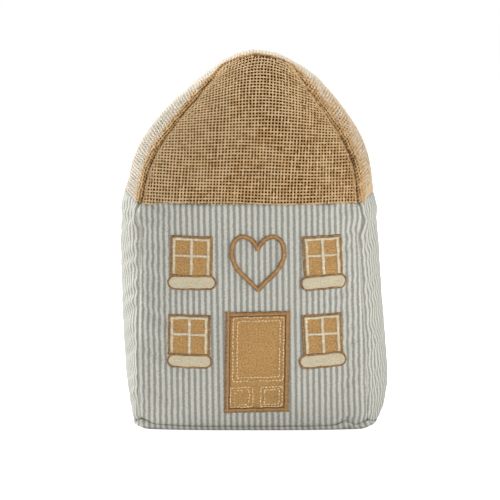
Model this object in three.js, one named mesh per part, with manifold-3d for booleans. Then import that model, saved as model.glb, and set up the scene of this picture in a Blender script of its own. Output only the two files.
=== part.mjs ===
// A weighted fabric door stop sewn in the shape of a small house, built as its sewn pieces.
// Millimetres, +Z up. The front wall faces -Y, and the origin is under the middle of the base, on the floor.
// The walls and base are ticking and the roof is hessian. A gusset joins the front panel to the back one:
// it runs up the left side, over the tip and down the right side. Loose fibre fills the cover, with a bag
// of sand in it that stands on the base. The windows, the heart and the door are edged with satin stitch.

import * as THREE from "three";
import { mergeGeometries, mergeVertices } from "three/addons/utils/BufferGeometryUtils.js";
import Module from "manifold-3d";

// Outline of the front and back panels, along their seams
const WALL_HEIGHT = 157;
const CORNER_HEIGHT = 250;
const TIP_HEIGHT = 257.5;
const BASE_WIDTH = 158.5;
const EAVES_WIDTH = 147.5;
const TIP_WIDTH = 47.5;
const SLOPE_RISE = 36;
const SLOPE_RUN = 36;
const SLOPE_FALL = 47;
const BASE_SHIFT = -1;
const EAVES_SHIFT = -3;
const TIP_SHIFT = 2.4;

// Depth between the front and back seams, and how far the stuffing pushes each panel out of its seams.
// A shoulder is the power that keeps the gusset's bulge up the slope: the higher, the later it falls.
const BASE_DEPTH = 100;
const TIP_DEPTH = 92;
const FRONT_BULGE = 12;
const BASE_BULGE = 4;
const LEFT_BULGE_LOW = 5;
const LEFT_BULGE_HIGH = 15.6;
const RIGHT_BULGE_LOW = 19.5;
const RIGHT_BULGE_HIGH = 14;
const LEFT_ROOF_BULGE = 11.2;
const RIGHT_ROOF_BULGE = 10.9;
const TIP_BULGE = 1.5;
const LEFT_SHOULDER = 4;
const RIGHT_SHOULDER = 8;
const BULGE_RISE = 46;
const BULGE_SETTLING = 24;
const EAVES_ARCH = 6;

// The base is flat, with a rim that turns up to the seam, higher at the corners
const SEAM_LIFT = 3.5;
const CORNER_LIFT = 8;
const BASE_RIM = 14;

// Cloth
const TICKING_THICKNESS = 0.9;
const HESSIAN_THICKNESS = 1.4;
const SEWN_GAP = 0.4;
const STRIPE_PITCH = 4.1;
const STRIPE_RELIEF = 0.25;
const WEAVE_PITCH = 6.6;
const WEAVE_RELIEF = 0.7;

// Filling
const FILLING_CLEARANCE = 0.8;
const BAG_WIDTH = 120;
const BAG_DEPTH = 74;
const BAG_HEIGHT = 60;
const BAG_CORNER = 16;
const BAG_ROUNDING = 9;

// Patches on the front wall. Places are those of the patch's middle.
const PATCH_THICKNESS = 0.6;
const PATCH_CLEARANCE = 0.35;
const STITCH_THICKNESS = 1;
const PATCH_CENTRE = 2;
const WINDOW_WIDTH = 24;
const WINDOW_HEIGHT = 22.8;
const WINDOW_SPREAD = 44.8;
const LOWER_WINDOW_Z = 68.6;
const UPPER_WINDOW_Z = 122.6;
const FRAME_WIDTH = 2.4;
const BAR_WIDTH = 2.1;
const BORDER_WIDTH = 1.7;
const SILL_WIDTH = 29.2;
const SILL_HEIGHT = 6.4;
const SILL_END = 2.6;
const DOOR_WIDTH = 36.6;
const DOOR_HEIGHT = 62.2;
const DOOR_Z = 49.8;
const DOOR_BORDER_WIDTH = 3.4;
const HEART_WIDTH = 35.6;
const HEART_HEIGHT = 36;
const HEART_Z = 117.6;
const HEART_BAND = 2.8;

// How finely the surfaces are divided
const CLOTH_STEP = 22;
const BEND_STEP = 11;
const PATCH_STEP = 8;
const ROW_CROWDING = 1.9;
const WALL_ROWS = 6;

const COLOURS = {
  ticking: 0xb7b6ab,
  hessian: 0xb28e62,
  twill: 0xb08a57,
  stitch: 0x9c784a,
  cream: 0xd6caa9,
  calico: 0xd8d2c2,
  fibre: 0xf1f0ec,
};

const { lerp, clamp } = THREE.MathUtils;
const wasm = await Module();
wasm.setup();

// The cover's form. Every surface takes a depth, how far below the cover's outside it lies, so that two
// pieces of cloth that share a seam meet on a mitre, whatever their thickness.

const SLOPE = new THREE.CubicBezierCurve(
  new THREE.Vector2(EAVES_WIDTH / 2, WALL_HEIGHT),
  new THREE.Vector2(EAVES_WIDTH / 2 - 1, WALL_HEIGHT + SLOPE_RISE),
  new THREE.Vector2(TIP_WIDTH / 2 + SLOPE_RUN, CORNER_HEIGHT - SLOPE_FALL),
  new THREE.Vector2(TIP_WIDTH / 2, CORNER_HEIGHT),
);
const TIP = new THREE.QuadraticBezierCurve(
  new THREE.Vector2(-TIP_WIDTH / 2, CORNER_HEIGHT),
  new THREE.Vector2(0, 2 * TIP_HEIGHT - CORNER_HEIGHT),
  new THREE.Vector2(TIP_WIDTH / 2, CORNER_HEIGHT),
);

// How far to one side the middle of the front panel stands at a height: the finished piece leans a little.
function shift(z) {
  if (z < WALL_HEIGHT) return lerp(BASE_SHIFT, EAVES_SHIFT, z / WALL_HEIGHT);
  return lerp(EAVES_SHIFT, TIP_SHIFT, clamp((z - WALL_HEIGHT) / (CORNER_HEIGHT - WALL_HEIGHT), 0, 1));
}

// Half the depth between the front and back seams.
function halfDepth(z, depth) {
  const up = clamp((z - WALL_HEIGHT) / (TIP_HEIGHT - WALL_HEIGHT), 0, 1);
  return lerp(BASE_DEPTH, TIP_DEPTH, up) / 2 - depth;
}

// How full a panel is at a share of the way across it: 0 on its seams and 1 in its middle.
function fullness(share) {
  return 1 - Math.abs(2 * share - 1) ** 3;
}

// A wall's bulge at a height: it starts small at the base and is whole at BULGE_RISE.
function risen(z, whole) {
  const below = 1 - clamp(z / BULGE_RISE, 0, 1);
  return lerp(whole, BASE_BULGE, below ** 2);
}

// The height of the base seam at a share of the way along one side.
function baseSeam(share, depth) {
  return depth + lerp(SEAM_LIFT, CORNER_LIFT, Math.abs(2 * share - 1) ** 5);
}

// The front panel's seam from the left base corner (0) by the left eaves (1), the tip's left corner (2),
// its right corner (3) and the right eaves (4) to the right base corner (5). It gives the point across and
// up, and the way out of the panel there.
function seam(along, depth) {
  if (along > 2.5) {
    const other = seam(5 - along, depth);
    other.point.x = 2 * shift(other.level) - other.point.x;
    other.out.x = -other.out.x;
    return other;
  }
  const point = new THREE.Vector2();
  const tangent = new THREE.Vector2();
  if (along <= 1) {
    point.set(-lerp(BASE_WIDTH, EAVES_WIDTH, along) / 2, lerp(CORNER_LIFT, WALL_HEIGHT, along));
    tangent.set((BASE_WIDTH - EAVES_WIDTH) / 2, WALL_HEIGHT - CORNER_LIFT).normalize();
  } else if (along <= 2) {
    point.copy(SLOPE.getPointAt(along - 1)).setX(-SLOPE.getPointAt(along - 1).x);
    tangent.copy(SLOPE.getTangentAt(along - 1)).setX(-SLOPE.getTangentAt(along - 1).x);
  } else {
    point.copy(TIP.getPointAt(along - 2));
    tangent.copy(TIP.getTangentAt(along - 2));
  }
  if (Math.abs(along - 2) < 1e-9) tangent.add(TIP.getTangentAt(0)).normalize();
  const level = point.y;
  const out = new THREE.Vector2(-tangent.y, tangent.x);
  point.x += shift(level);
  point.addScaledVector(out, -depth);
  if (along <= 1) point.y = lerp(CORNER_LIFT + depth, WALL_HEIGHT, along);
  return { point, out, level };
}

// The front wall (way -1) or the back wall (way 1), at a share across and a height.
function wallAt(way, across, z, depth) {
  const rise = clamp((z - CORNER_LIFT - depth) / (WALL_HEIGHT - CORNER_LIFT - depth), 0, 1);
  const left = seam(rise, depth).point.x;
  const right = seam(5 - rise, depth).point.x;
  const bulge = risen(z - depth, FRONT_BULGE) * fullness(across);
  return new THREE.Vector3(lerp(left, right, across), way * (halfDepth(z, depth) + bulge), z);
}

// A share across a panel, as its own viewer sees it, turned into one from the left of the front.
function fromLeft(way, across) {
  return way < 0 ? across : 1 - across;
}

function wall(way) {
  return (across, up, depth) => {
    const z = lerp(baseSeam(across, depth), WALL_HEIGHT, up);
    return wallAt(way, fromLeft(way, across), z, depth);
  };
}

// The front or back of the roof: one surface blended between the eaves, the two slopes and the tip.
function roof(way) {
  return (seen, up, depth) => {
    const across = fromLeft(way, seen);
    const { point } = seam(1 + up, depth);
    const chord = seam(2, depth).point.lerp(seam(3, depth).point, across);
    const crown = seam(2 + across, depth).point.sub(chord);
    point.lerp(seam(4 - up, depth).point, across).addScaledVector(crown, up);
    const bulge = FRONT_BULGE * fullness(across) * (1 - up ** 3);
    return new THREE.Vector3(point.x, way * (halfDepth(point.y, depth) + bulge), point.y);
  };
}

// The gusset, along the front seam and back from it.
function gusset(along, back, depth) {
  const { point, out, level } = seam(along, depth);
  const [low, high, above, shoulder] = along < 2.5
    ? [LEFT_BULGE_LOW, LEFT_BULGE_HIGH, LEFT_ROOF_BULGE, LEFT_SHOULDER]
    : [RIGHT_BULGE_LOW, RIGHT_BULGE_HIGH, RIGHT_ROOF_BULGE, RIGHT_SHOULDER];
  const wallSide = lerp(low, high, 1 - (1 - clamp(level / WALL_HEIGHT, 0, 1)) ** 2);
  const settled = THREE.MathUtils.smoothstep(level, WALL_HEIGHT - BULGE_SETTLING / 2, WALL_HEIGHT + BULGE_SETTLING / 2);
  const side = lerp(wallSide, above, settled);
  const up = clamp((level - WALL_HEIGHT) / (CORNER_HEIGHT - WALL_HEIGHT), 0, 1);
  const bulge = lerp(risen(point.y - depth, side), TIP_BULGE, up ** shoulder);
  const rise = Math.min(along, 5 - along);
  const arch = EAVES_ARCH * fullness(back) * clamp(1 - Math.abs(rise - 1), 0, 1) ** 2;
  const dip = (baseSeam(0, depth) - baseSeam(back, depth)) * clamp(1 - rise, 0, 1) ** 2;
  const y = lerp(-1, 1, back) * halfDepth(point.y, depth);
  point.addScaledVector(out, bulge * fullness(back));
  return new THREE.Vector3(point.x, y, point.y + arch - dip);
}

function leftWall(up, back, depth) {
  return gusset(up, back, depth);
}

function rightWall(down, back, depth) {
  return gusset(4 + down, back, depth);
}

function roofStrip(over, back, depth) {
  return gusset(1 + 3 * over, back, depth);
}

// The base, back from the front seam and across: flat, with a rim turned up to the seam all round.
function base(back, across, depth) {
  const left = gusset(0, back, depth);
  const right = gusset(5, back, depth);
  const front = wallAt(-1, across, baseSeam(across, depth), depth);
  const sideways = (1 - Math.abs(2 * across - 1)) * (right.x - left.x) / 2;
  const lengthways = (Math.abs(2 * back - 1) - 1) * front.y;
  const edge = sideways < lengthways ? lerp(left.z, right.z, across) : front.z;
  const turn = 1 - clamp(Math.min(sideways, lengthways) / BASE_RIM, 0, 1);
  return new THREE.Vector3(
    lerp(left.x, right.x, across),
    lerp(front.y, -front.y, back),
    lerp(depth, edge, turn ** 2),
  );
}

// Closed sheets of cloth

// Shares of the way along a length, evenly spaced, with a gap left at both ends.
function shares(length, step, gap) {
  const count = Math.max(1, Math.round(length / step));
  return Array.from({ length: count + 1 }, (_, i) => lerp(gap, length - gap, i / count) / length);
}

// Joins two lines of numbered points into a strip of triangles, each point placed by its share of the way.
function zip(faces, first, second, firstShares, secondShares) {
  let i = 0;
  let j = 0;
  while (i < first.length - 1 || j < second.length - 1) {
    const nextFirst = i < first.length - 1 ? firstShares[i + 1] : Infinity;
    const nextSecond = j < second.length - 1 ? secondShares[j + 1] : Infinity;
    if (nextFirst <= nextSecond) {
      faces.push(first[i], second[j], first[i + 1]);
      i += 1;
    } else {
      faces.push(first[i], second[j], second[j + 1]);
      j += 1;
    }
  }
}

// The two triangles of a four-cornered face, halved one way and the other by turns.
function halves(a, b, c, d, turn) {
  return turn % 2 ? [a, b, c, a, c, d] : [a, b, d, b, c, d];
}

// A sheet between two depths of a surface. The outside has its own, finer division, and a relief that
// stops short of the seams.
function sheet(surface, outside, inside, thickness, relief = () => 0) {
  const places = [];
  const faces = [];
  const within = (i, list) => i > 0 && i < list.length - 1;
  const raised = (i, j) => within(i, outside.us) && within(j, outside.vs);
  const lay = ({ us, vs }, depthAt) => us.map((u, i) => vs.map((v, j) => {
    places.push(...surface(u, v, depthAt(i, j)).toArray());
    return places.length / 3 - 1;
  }));
  const outer = lay(outside, (i, j) => (raised(i, j) ? -relief(i, j) : 0));
  const inner = lay(inside, () => thickness);
  const fill = (grid, turned) => {
    for (let i = 0; i < grid.length - 1; i += 1) {
      for (let j = 0; j < grid[0].length - 1; j += 1) {
        const [a, b, c, d] = [grid[i][j], grid[i + 1][j], grid[i + 1][j + 1], grid[i][j + 1]];
        const pair = halves(a, b, c, d, i + j);
        faces.push(...(turned ? pair.reverse() : pair));
      }
    }
  };
  fill(outer, false);
  fill(inner, true);
  const end = (grid) => grid[grid.length - 1];
  const firsts = (grid) => grid.map((row) => row[0]);
  const lasts = (grid) => grid.map((row) => end(row));
  const turn = (list) => [...list].reverse();
  const back = (list) => turn(list).map((share) => -share);
  zip(faces, inner[0], outer[0], inside.vs, outside.vs);
  zip(faces, turn(end(inner)), turn(end(outer)), back(inside.vs), back(outside.vs));
  zip(faces, turn(firsts(inner)), turn(firsts(outer)), back(inside.us), back(outside.us));
  zip(faces, lasts(inner), lasts(outer), inside.us, outside.us);
  return solid(places, faces);
}

function solid(places, faces) {
  const geometry = new THREE.BufferGeometry();
  geometry.setAttribute("position", new THREE.Float32BufferAttribute(places, 3));
  geometry.setIndex(faces);
  return geometry;
}

// Shares up a wall, crowded towards the base, where the wall curves most.
function rowsUp(gap) {
  return Array.from({ length: WALL_ROWS + 1 }, (_, i) => lerp(gap, 1 - gap, (i / WALL_ROWS) ** ROW_CROWDING));
}

function rowsDown(gap) {
  return rowsUp(gap).map((share) => 1 - share).reverse();
}

// A front or back wall of ticking, whose stripes are low ridges that run up it.
function tickingWall(surface) {
  const vs = rowsUp(SEWN_GAP / 2 / WALL_HEIGHT);
  const outside = { us: shares(BASE_WIDTH, STRIPE_PITCH / 2, SEWN_GAP / 2), vs };
  const inside = { us: shares(BASE_WIDTH, CLOTH_STEP, SEWN_GAP / 2), vs };
  return sheet(surface, outside, inside, TICKING_THICKNESS, (i) => STRIPE_RELIEF * (i % 2));
}

// A side wall of ticking: the same, with its rows first.
function tickingSide(surface, rows) {
  const us = rows(SEWN_GAP / 2 / WALL_HEIGHT);
  const outside = { us, vs: shares(BASE_DEPTH, STRIPE_PITCH / 2, SEWN_GAP / 2) };
  const inside = { us, vs: shares(BASE_DEPTH, CLOTH_STEP, SEWN_GAP / 2) };
  return sheet(surface, outside, inside, TICKING_THICKNESS, (i, j) => STRIPE_RELIEF * (j % 2));
}

// Shares over the roof, by the left slope, the tip and the right slope.
function overRoof(slope, tip) {
  return [slope, tip, slope].flatMap((part, i) => part.slice(i ? 1 : 0).map((share) => (i + share) / 3));
}

// The roof's divisions: fine ones for the woven outside, coarse ones for the inside and the filling.
const WOVEN = {
  slope: shares(SLOPE.getLength(), WEAVE_PITCH, 0),
  tip: shares(TIP.getLength(), WEAVE_PITCH, 0),
  across: shares(EAVES_WIDTH, WEAVE_PITCH, SEWN_GAP / 2),
  back: shares(BASE_DEPTH, WEAVE_PITCH, SEWN_GAP / 2),
};
const PLAIN = {
  slope: shares(SLOPE.getLength(), BEND_STEP, 0),
  tip: shares(EAVES_WIDTH, CLOTH_STEP, 0),
  across: shares(EAVES_WIDTH, CLOTH_STEP, SEWN_GAP / 2),
  back: shares(BASE_DEPTH, CLOTH_STEP, SEWN_GAP / 2),
};

// Moves the first and last shares in from the seams.
function gapped(list, length) {
  const gap = SEWN_GAP / 2 / length;
  return [gap, ...list.slice(1, -1), 1 - gap];
}

// A piece of hessian, whose weave stands up wherever a yarn passes over.
function hessian(surface, divide) {
  const over = (i, j) => WEAVE_RELIEF * ((i + j) % 2);
  return sheet(surface, divide(WOVEN), divide(PLAIN), HESSIAN_THICKNESS, over);
}

function roofPanel(way) {
  return hessian(roof(way), ({ across, slope }) => ({ us: across, vs: gapped(slope, SLOPE.getLength()) }));
}

function roofGusset() {
  const length = 3 * SLOPE.getLength();
  return hessian(roofStrip, ({ slope, tip, back }) => ({ us: gapped(overRoof(slope, tip), length), vs: back }));
}

// Shares across the base: two rows in each rim, and even ones between.
function rimmed(width) {
  const rim = BASE_RIM / width;
  const gap = SEWN_GAP / 2 / width;
  const flat = shares(width - 2 * BASE_RIM, CLOTH_STEP, 0).map((share) => lerp(rim, 1 - rim, share));
  return [gap, rim / 2, ...flat, 1 - rim / 2, 1 - gap];
}

function basePanel() {
  const grid = { us: rimmed(BASE_DEPTH), vs: rimmed(BASE_WIDTH) };
  return sheet(base, grid, grid, TICKING_THICKNESS);
}

// Filling

// One face of the filling, with no thickness.
function skin(surface, us, vs, depth) {
  const places = us.flatMap((u) => vs.flatMap((v) => surface(u, v, depth).toArray()));
  const faces = [];
  for (let i = 0; i < us.length - 1; i += 1) {
    for (let j = 0; j < vs.length - 1; j += 1) {
      const a = i * vs.length + j;
      const b = a + vs.length;
      faces.push(...halves(a, b, b + 1, a + 1, i + j));
    }
  }
  return solid(places, faces);
}

function toManifold(geometry) {
  const merged = mergeVertices(geometry, 1e-3);
  const vertProperties = new Float32Array(merged.getAttribute("position").array);
  const triVerts = new Uint32Array(merged.getIndex().array);
  return new wasm.Manifold(new wasm.Mesh({ numProp: 3, vertProperties, triVerts }));
}

// The loose fibre, which fills the cover to its inside and has a hollow for the bag of sand, open below.
function fibreFilling() {
  const depth = HESSIAN_THICKNESS + FILLING_CLEARANCE;
  const across = shares(EAVES_WIDTH, CLOTH_STEP, 0);
  const back = shares(BASE_DEPTH, CLOTH_STEP, 0);
  const { slope } = PLAIN;
  const skins = [
    skin(wall(-1), across, rowsUp(0), depth),
    skin(wall(1), across, rowsUp(0), depth),
    skin(roof(-1), across, slope, depth),
    skin(roof(1), across, slope, depth),
    skin(leftWall, rowsUp(0), back, depth),
    skin(rightWall, rowsDown(0), back, depth),
    skin(roofStrip, overRoof(slope, across), back, depth),
    skin(base, back, across, depth),
  ];
  const hollow = toManifold(bagShape(FILLING_CLEARANCE, TICKING_THICKNESS + FILLING_CLEARANCE));
  const { vertProperties, triVerts } = toManifold(mergeGeometries(skins)).subtract(hollow).getMesh();
  return solid(Array.from(vertProperties), Array.from(triVerts));
}

// The bag of sand. With a clearance it is the hollow that the bag lies in, which reaches down below it.
function bagShape(clearance, below) {
  const width = BAG_WIDTH / 2 + clearance - BAG_ROUNDING - BAG_CORNER;
  const depth = BAG_DEPTH / 2 + clearance - BAG_ROUNDING - BAG_CORNER;
  const outline = new THREE.Shape();
  outline.absarc(width, -depth, BAG_CORNER, -Math.PI / 2, 0);
  outline.absarc(width, depth, BAG_CORNER, 0, Math.PI / 2);
  outline.absarc(-width, depth, BAG_CORNER, Math.PI / 2, Math.PI);
  outline.absarc(-width, -depth, BAG_CORNER, Math.PI, Math.PI * 1.5);
  const geometry = new THREE.ExtrudeGeometry(outline, {
    depth: BAG_HEIGHT - 2 * BAG_ROUNDING + clearance + below,
    bevelThickness: BAG_ROUNDING,
    bevelSize: BAG_ROUNDING,
    bevelSegments: 2,
    curveSegments: 3,
  });
  geometry.deleteAttribute("normal");
  geometry.deleteAttribute("uv");
  geometry.translate(0, 0, TICKING_THICKNESS + FILLING_CLEARANCE + BAG_ROUNDING - below);
  return mergeVertices(geometry, 1e-3);
}

// Patches and stitching on the front wall

// A place on the front wall, so far across and up, at a height above its cloth.
function onFront(x, z, lift) {
  const rise = clamp((z - CORNER_LIFT) / (WALL_HEIGHT - CORNER_LIFT), 0, 1);
  const left = seam(rise, 0).point.x;
  const right = seam(5 - rise, 0).point.x;
  return wallAt(-1, (x - left) / (right - left), z, -STRIPE_RELIEF - PATCH_CLEARANCE - lift);
}

// An oblong, as a place for each share across and up. Its ends are rounded by drawing their corners in.
function oblong(width, height, end = 0) {
  return (across, up) => {
    const x = lerp(-width, width, across) / 2;
    const beyond = clamp((Math.abs(x) - width / 2 + end) / (end || 1), 0, 1);
    return new THREE.Vector2(x, (lerp(-height, height, up) / 2) * Math.sqrt(1 - 0.7 * beyond ** 2));
  };
}

// A cloth patch of such a shape, its middle at a place on the front wall.
function patch(shape, across, up, x, z) {
  const surface = (u, v, depth) => {
    const place = shape(u, v);
    return onFront(x + place.x, z + place.y, PATCH_THICKNESS - depth);
  };
  const grid = { us: across, vs: up };
  return sheet(surface, grid, grid, PATCH_THICKNESS);
}

// The way round a shape's edge, anticlockwise as its viewer sees it.
function around(shape, across, up) {
  return [
    ...across.slice(1).map((share) => shape(share, 0)),
    ...up.slice(1).map((share) => shape(1, share)),
    ...across.slice(1).map((share) => shape(1 - share, 1)),
    ...up.slice(1).map((share) => shape(0, 1 - share)),
  ];
}

// A closed band of satin stitch along a path, mitred at its corners, its middle at a place on the front wall.
function satin(path, width, x, z) {
  const loops = [[-1, 0], [1, 0], [1, STITCH_THICKNESS], [-1, STITCH_THICKNESS]];
  const count = path.length;
  const places = [];
  const faces = [];
  path.forEach((point, i) => {
    const before = point.clone().sub(path[(i + count - 1) % count]).normalize();
    const after = path[(i + 1) % count].clone().sub(point).normalize();
    const side = new THREE.Vector2(before.y + after.y, -before.x - after.x).normalize();
    const mitre = width / 2 / (side.x * before.y - side.y * before.x);
    loops.forEach(([way, lift]) => {
      const place = point.clone().addScaledVector(side, way * mitre);
      places.push(...onFront(x + place.x, z + place.y, lift).toArray());
    });
    for (let k = 0; k < 4; k += 1) {
      const [a, b] = [4 * i + k, 4 * i + ((k + 1) % 4)];
      const [c, d] = [b, a].map((corner) => (corner + 4) % (4 * count));
      faces.push(a, d, b, b, d, c);
    }
  });
  return solid(places, faces);
}

// The five bands of a window's frame across one way: side, pane, bar, pane, side.
function frameLines(length) {
  const inner = [length / 2 - FRAME_WIDTH, BAR_WIDTH / 2];
  return [-length / 2, -inner[0], -inner[1], inner[1], inner[0], length / 2];
}

// A window's frame and its crossing bars, raised in stitch on the pane.
function windowFrame(x, z) {
  const xs = frameLines(WINDOW_WIDTH - 2 * PATCH_CLEARANCE);
  const zs = frameLines(WINDOW_HEIGHT - 2 * PATCH_CLEARANCE);
  const low = PATCH_THICKNESS + PATCH_CLEARANCE;
  const places = [low, low + STITCH_THICKNESS].flatMap((lift) => (
    xs.flatMap((across) => zs.flatMap((up) => onFront(x + across, z + up, lift).toArray()))
  ));
  const faces = [];
  const quad = (...corners) => {
    const [a, b, c, d] = corners.map(([i, j, top]) => (top * xs.length + i) * zs.length + j);
    faces.push(a, b, c, a, c, d);
  };
  const open = (i, j) => i < 0 || j < 0 || i > 4 || j > 4 || (i % 2 && j % 2);
  const edge = (i, j, k, l) => quad([i, j, 0], [k, l, 0], [k, l, 1], [i, j, 1]);
  for (let i = 0; i < 5; i += 1) {
    for (let j = 0; j < 5; j += 1) {
      if (open(i, j)) continue;
      quad([i, j, 1], [i + 1, j, 1], [i + 1, j + 1, 1], [i, j + 1, 1]);
      quad([i, j, 0], [i, j + 1, 0], [i + 1, j + 1, 0], [i + 1, j, 0]);
      if (open(i, j - 1)) edge(i, j, i + 1, j);
      if (open(i + 1, j)) edge(i + 1, j, i + 1, j + 1);
      if (open(i, j + 1)) edge(i + 1, j + 1, i, j + 1);
      if (open(i - 1, j)) edge(i, j + 1, i, j);
    }
  }
  return solid(places, faces);
}

// The heart's edge, down the right lobe to the point and up the left one.
function heartPath() {
  const [w, h] = [HEART_WIDTH / 2, HEART_HEIGHT];
  const lobe = new THREE.CubicBezierCurve(
    new THREE.Vector2(0, 0.26 * h),
    new THREE.Vector2(0.16 * w, 0.58 * h),
    new THREE.Vector2(w, 0.62 * h),
    new THREE.Vector2(w, 0.2 * h),
  );
  const flank = new THREE.CubicBezierCurve(
    new THREE.Vector2(w, 0.2 * h),
    new THREE.Vector2(w, -0.06 * h),
    new THREE.Vector2(0.42 * w, -0.26 * h),
    new THREE.Vector2(0, -0.5 * h),
  );
  const right = [...lobe.getSpacedPoints(6), ...flank.getSpacedPoints(7).slice(1)];
  const left = right.slice(1, -1).map((point) => new THREE.Vector2(-point.x, point.y));
  return [...left, ...right.reverse()];
}

// The assembly

const model = new THREE.Group();

function add(name, geometry, color, roughness = 0.9) {
  const mesh = new THREE.Mesh(geometry, new THREE.MeshStandardMaterial({ color, roughness, metalness: 0 }));
  mesh.name = name;
  model.add(mesh);
}

function addEdged(name, width, height, end, x, z, color, bandWidth) {
  const across = shares(width, PATCH_STEP, 0);
  const up = shares(height, PATCH_STEP, 0);
  const grow = bandWidth + 2 * PATCH_CLEARANCE;
  const edge = oblong(width + grow, height + grow, end && end + grow / 2);
  add(name, patch(oblong(width, height, end), across, up, x, z), color);
  add(name + "_border", satin(around(edge, across, up), bandWidth, x, z), COLOURS.stitch, 0.6);
}

function addWindow(place, x, z) {
  addEdged(place + "_pane", WINDOW_WIDTH, WINDOW_HEIGHT, 0, x, z, COLOURS.twill, BORDER_WIDTH);
  add(place + "_frame", windowFrame(x, z), COLOURS.cream, 0.6);
  const drop = (WINDOW_HEIGHT + SILL_HEIGHT) / 2 + 2 * BORDER_WIDTH + 3 * PATCH_CLEARANCE;
  addEdged(place + "_sill", SILL_WIDTH, SILL_HEIGHT, SILL_END, x, z - drop, COLOURS.cream, BORDER_WIDTH);
}

add("front_wall", tickingWall(wall(-1)), COLOURS.ticking);
add("back_wall", tickingWall(wall(1)), COLOURS.ticking);
add("left_wall", tickingSide(leftWall, rowsUp), COLOURS.ticking);
add("right_wall", tickingSide(rightWall, rowsDown), COLOURS.ticking);
add("base_panel", basePanel(), COLOURS.ticking);
add("front_roof", roofPanel(-1), COLOURS.hessian);
add("back_roof", roofPanel(1), COLOURS.hessian);
add("roof_strip", roofGusset(), COLOURS.hessian);
add("fibre_filling", fibreFilling(), COLOURS.fibre);
add("sand_bag", bagShape(0, 0), COLOURS.calico);
addWindow("upper_left", PATCH_CENTRE - WINDOW_SPREAD, UPPER_WINDOW_Z);
addWindow("upper_right", PATCH_CENTRE + WINDOW_SPREAD, UPPER_WINDOW_Z);
addWindow("lower_left", PATCH_CENTRE - WINDOW_SPREAD, LOWER_WINDOW_Z);
addWindow("lower_right", PATCH_CENTRE + WINDOW_SPREAD, LOWER_WINDOW_Z);
addEdged("door", DOOR_WIDTH, DOOR_HEIGHT, 0, PATCH_CENTRE, DOOR_Z, COLOURS.twill, DOOR_BORDER_WIDTH);
add("heart", satin(heartPath(), HEART_BAND, PATCH_CENTRE, HEART_Z), COLOURS.stitch, 0.6);

export default model;
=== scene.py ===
import math

import bpy
import numpy as np
from bpy.props import FloatProperty, FloatVectorProperty, PointerProperty
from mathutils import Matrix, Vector


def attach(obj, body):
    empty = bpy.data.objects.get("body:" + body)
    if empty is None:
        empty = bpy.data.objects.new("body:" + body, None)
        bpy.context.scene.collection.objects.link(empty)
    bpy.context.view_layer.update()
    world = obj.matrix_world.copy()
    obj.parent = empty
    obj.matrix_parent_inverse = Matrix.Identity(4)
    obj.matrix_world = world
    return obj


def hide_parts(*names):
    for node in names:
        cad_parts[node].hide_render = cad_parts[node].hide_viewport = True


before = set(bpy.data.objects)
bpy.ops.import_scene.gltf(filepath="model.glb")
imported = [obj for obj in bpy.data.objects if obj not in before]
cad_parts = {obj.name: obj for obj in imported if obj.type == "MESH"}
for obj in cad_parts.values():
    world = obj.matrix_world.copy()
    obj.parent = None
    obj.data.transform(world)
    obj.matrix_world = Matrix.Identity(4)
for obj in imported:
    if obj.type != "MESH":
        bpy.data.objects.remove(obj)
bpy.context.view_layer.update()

bl_info = {
    "name": "House door stop",
    "version": (1, 0, 0),
    "blender": (4, 5, 0),
    "location": "3D View > Sidebar > Door stop",
    "description": "A sand-weighted cloth door stop sewn in the shape of a house",
    "category": "Mesh",
}

MM = 0.001
BODY = "root"


# Settings


def length(name, description, mm):
    """A length that the user sees in the scene's own unit."""
    return FloatProperty(name=name, description=description, default=mm * MM, unit="LENGTH", precision=4)


def number(name, description, value):
    return FloatProperty(name=name, description=description, default=value)


def tint(name, description, value):
    return FloatVectorProperty(name=name, description=description, default=value, subtype="COLOR", size=3)


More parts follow.
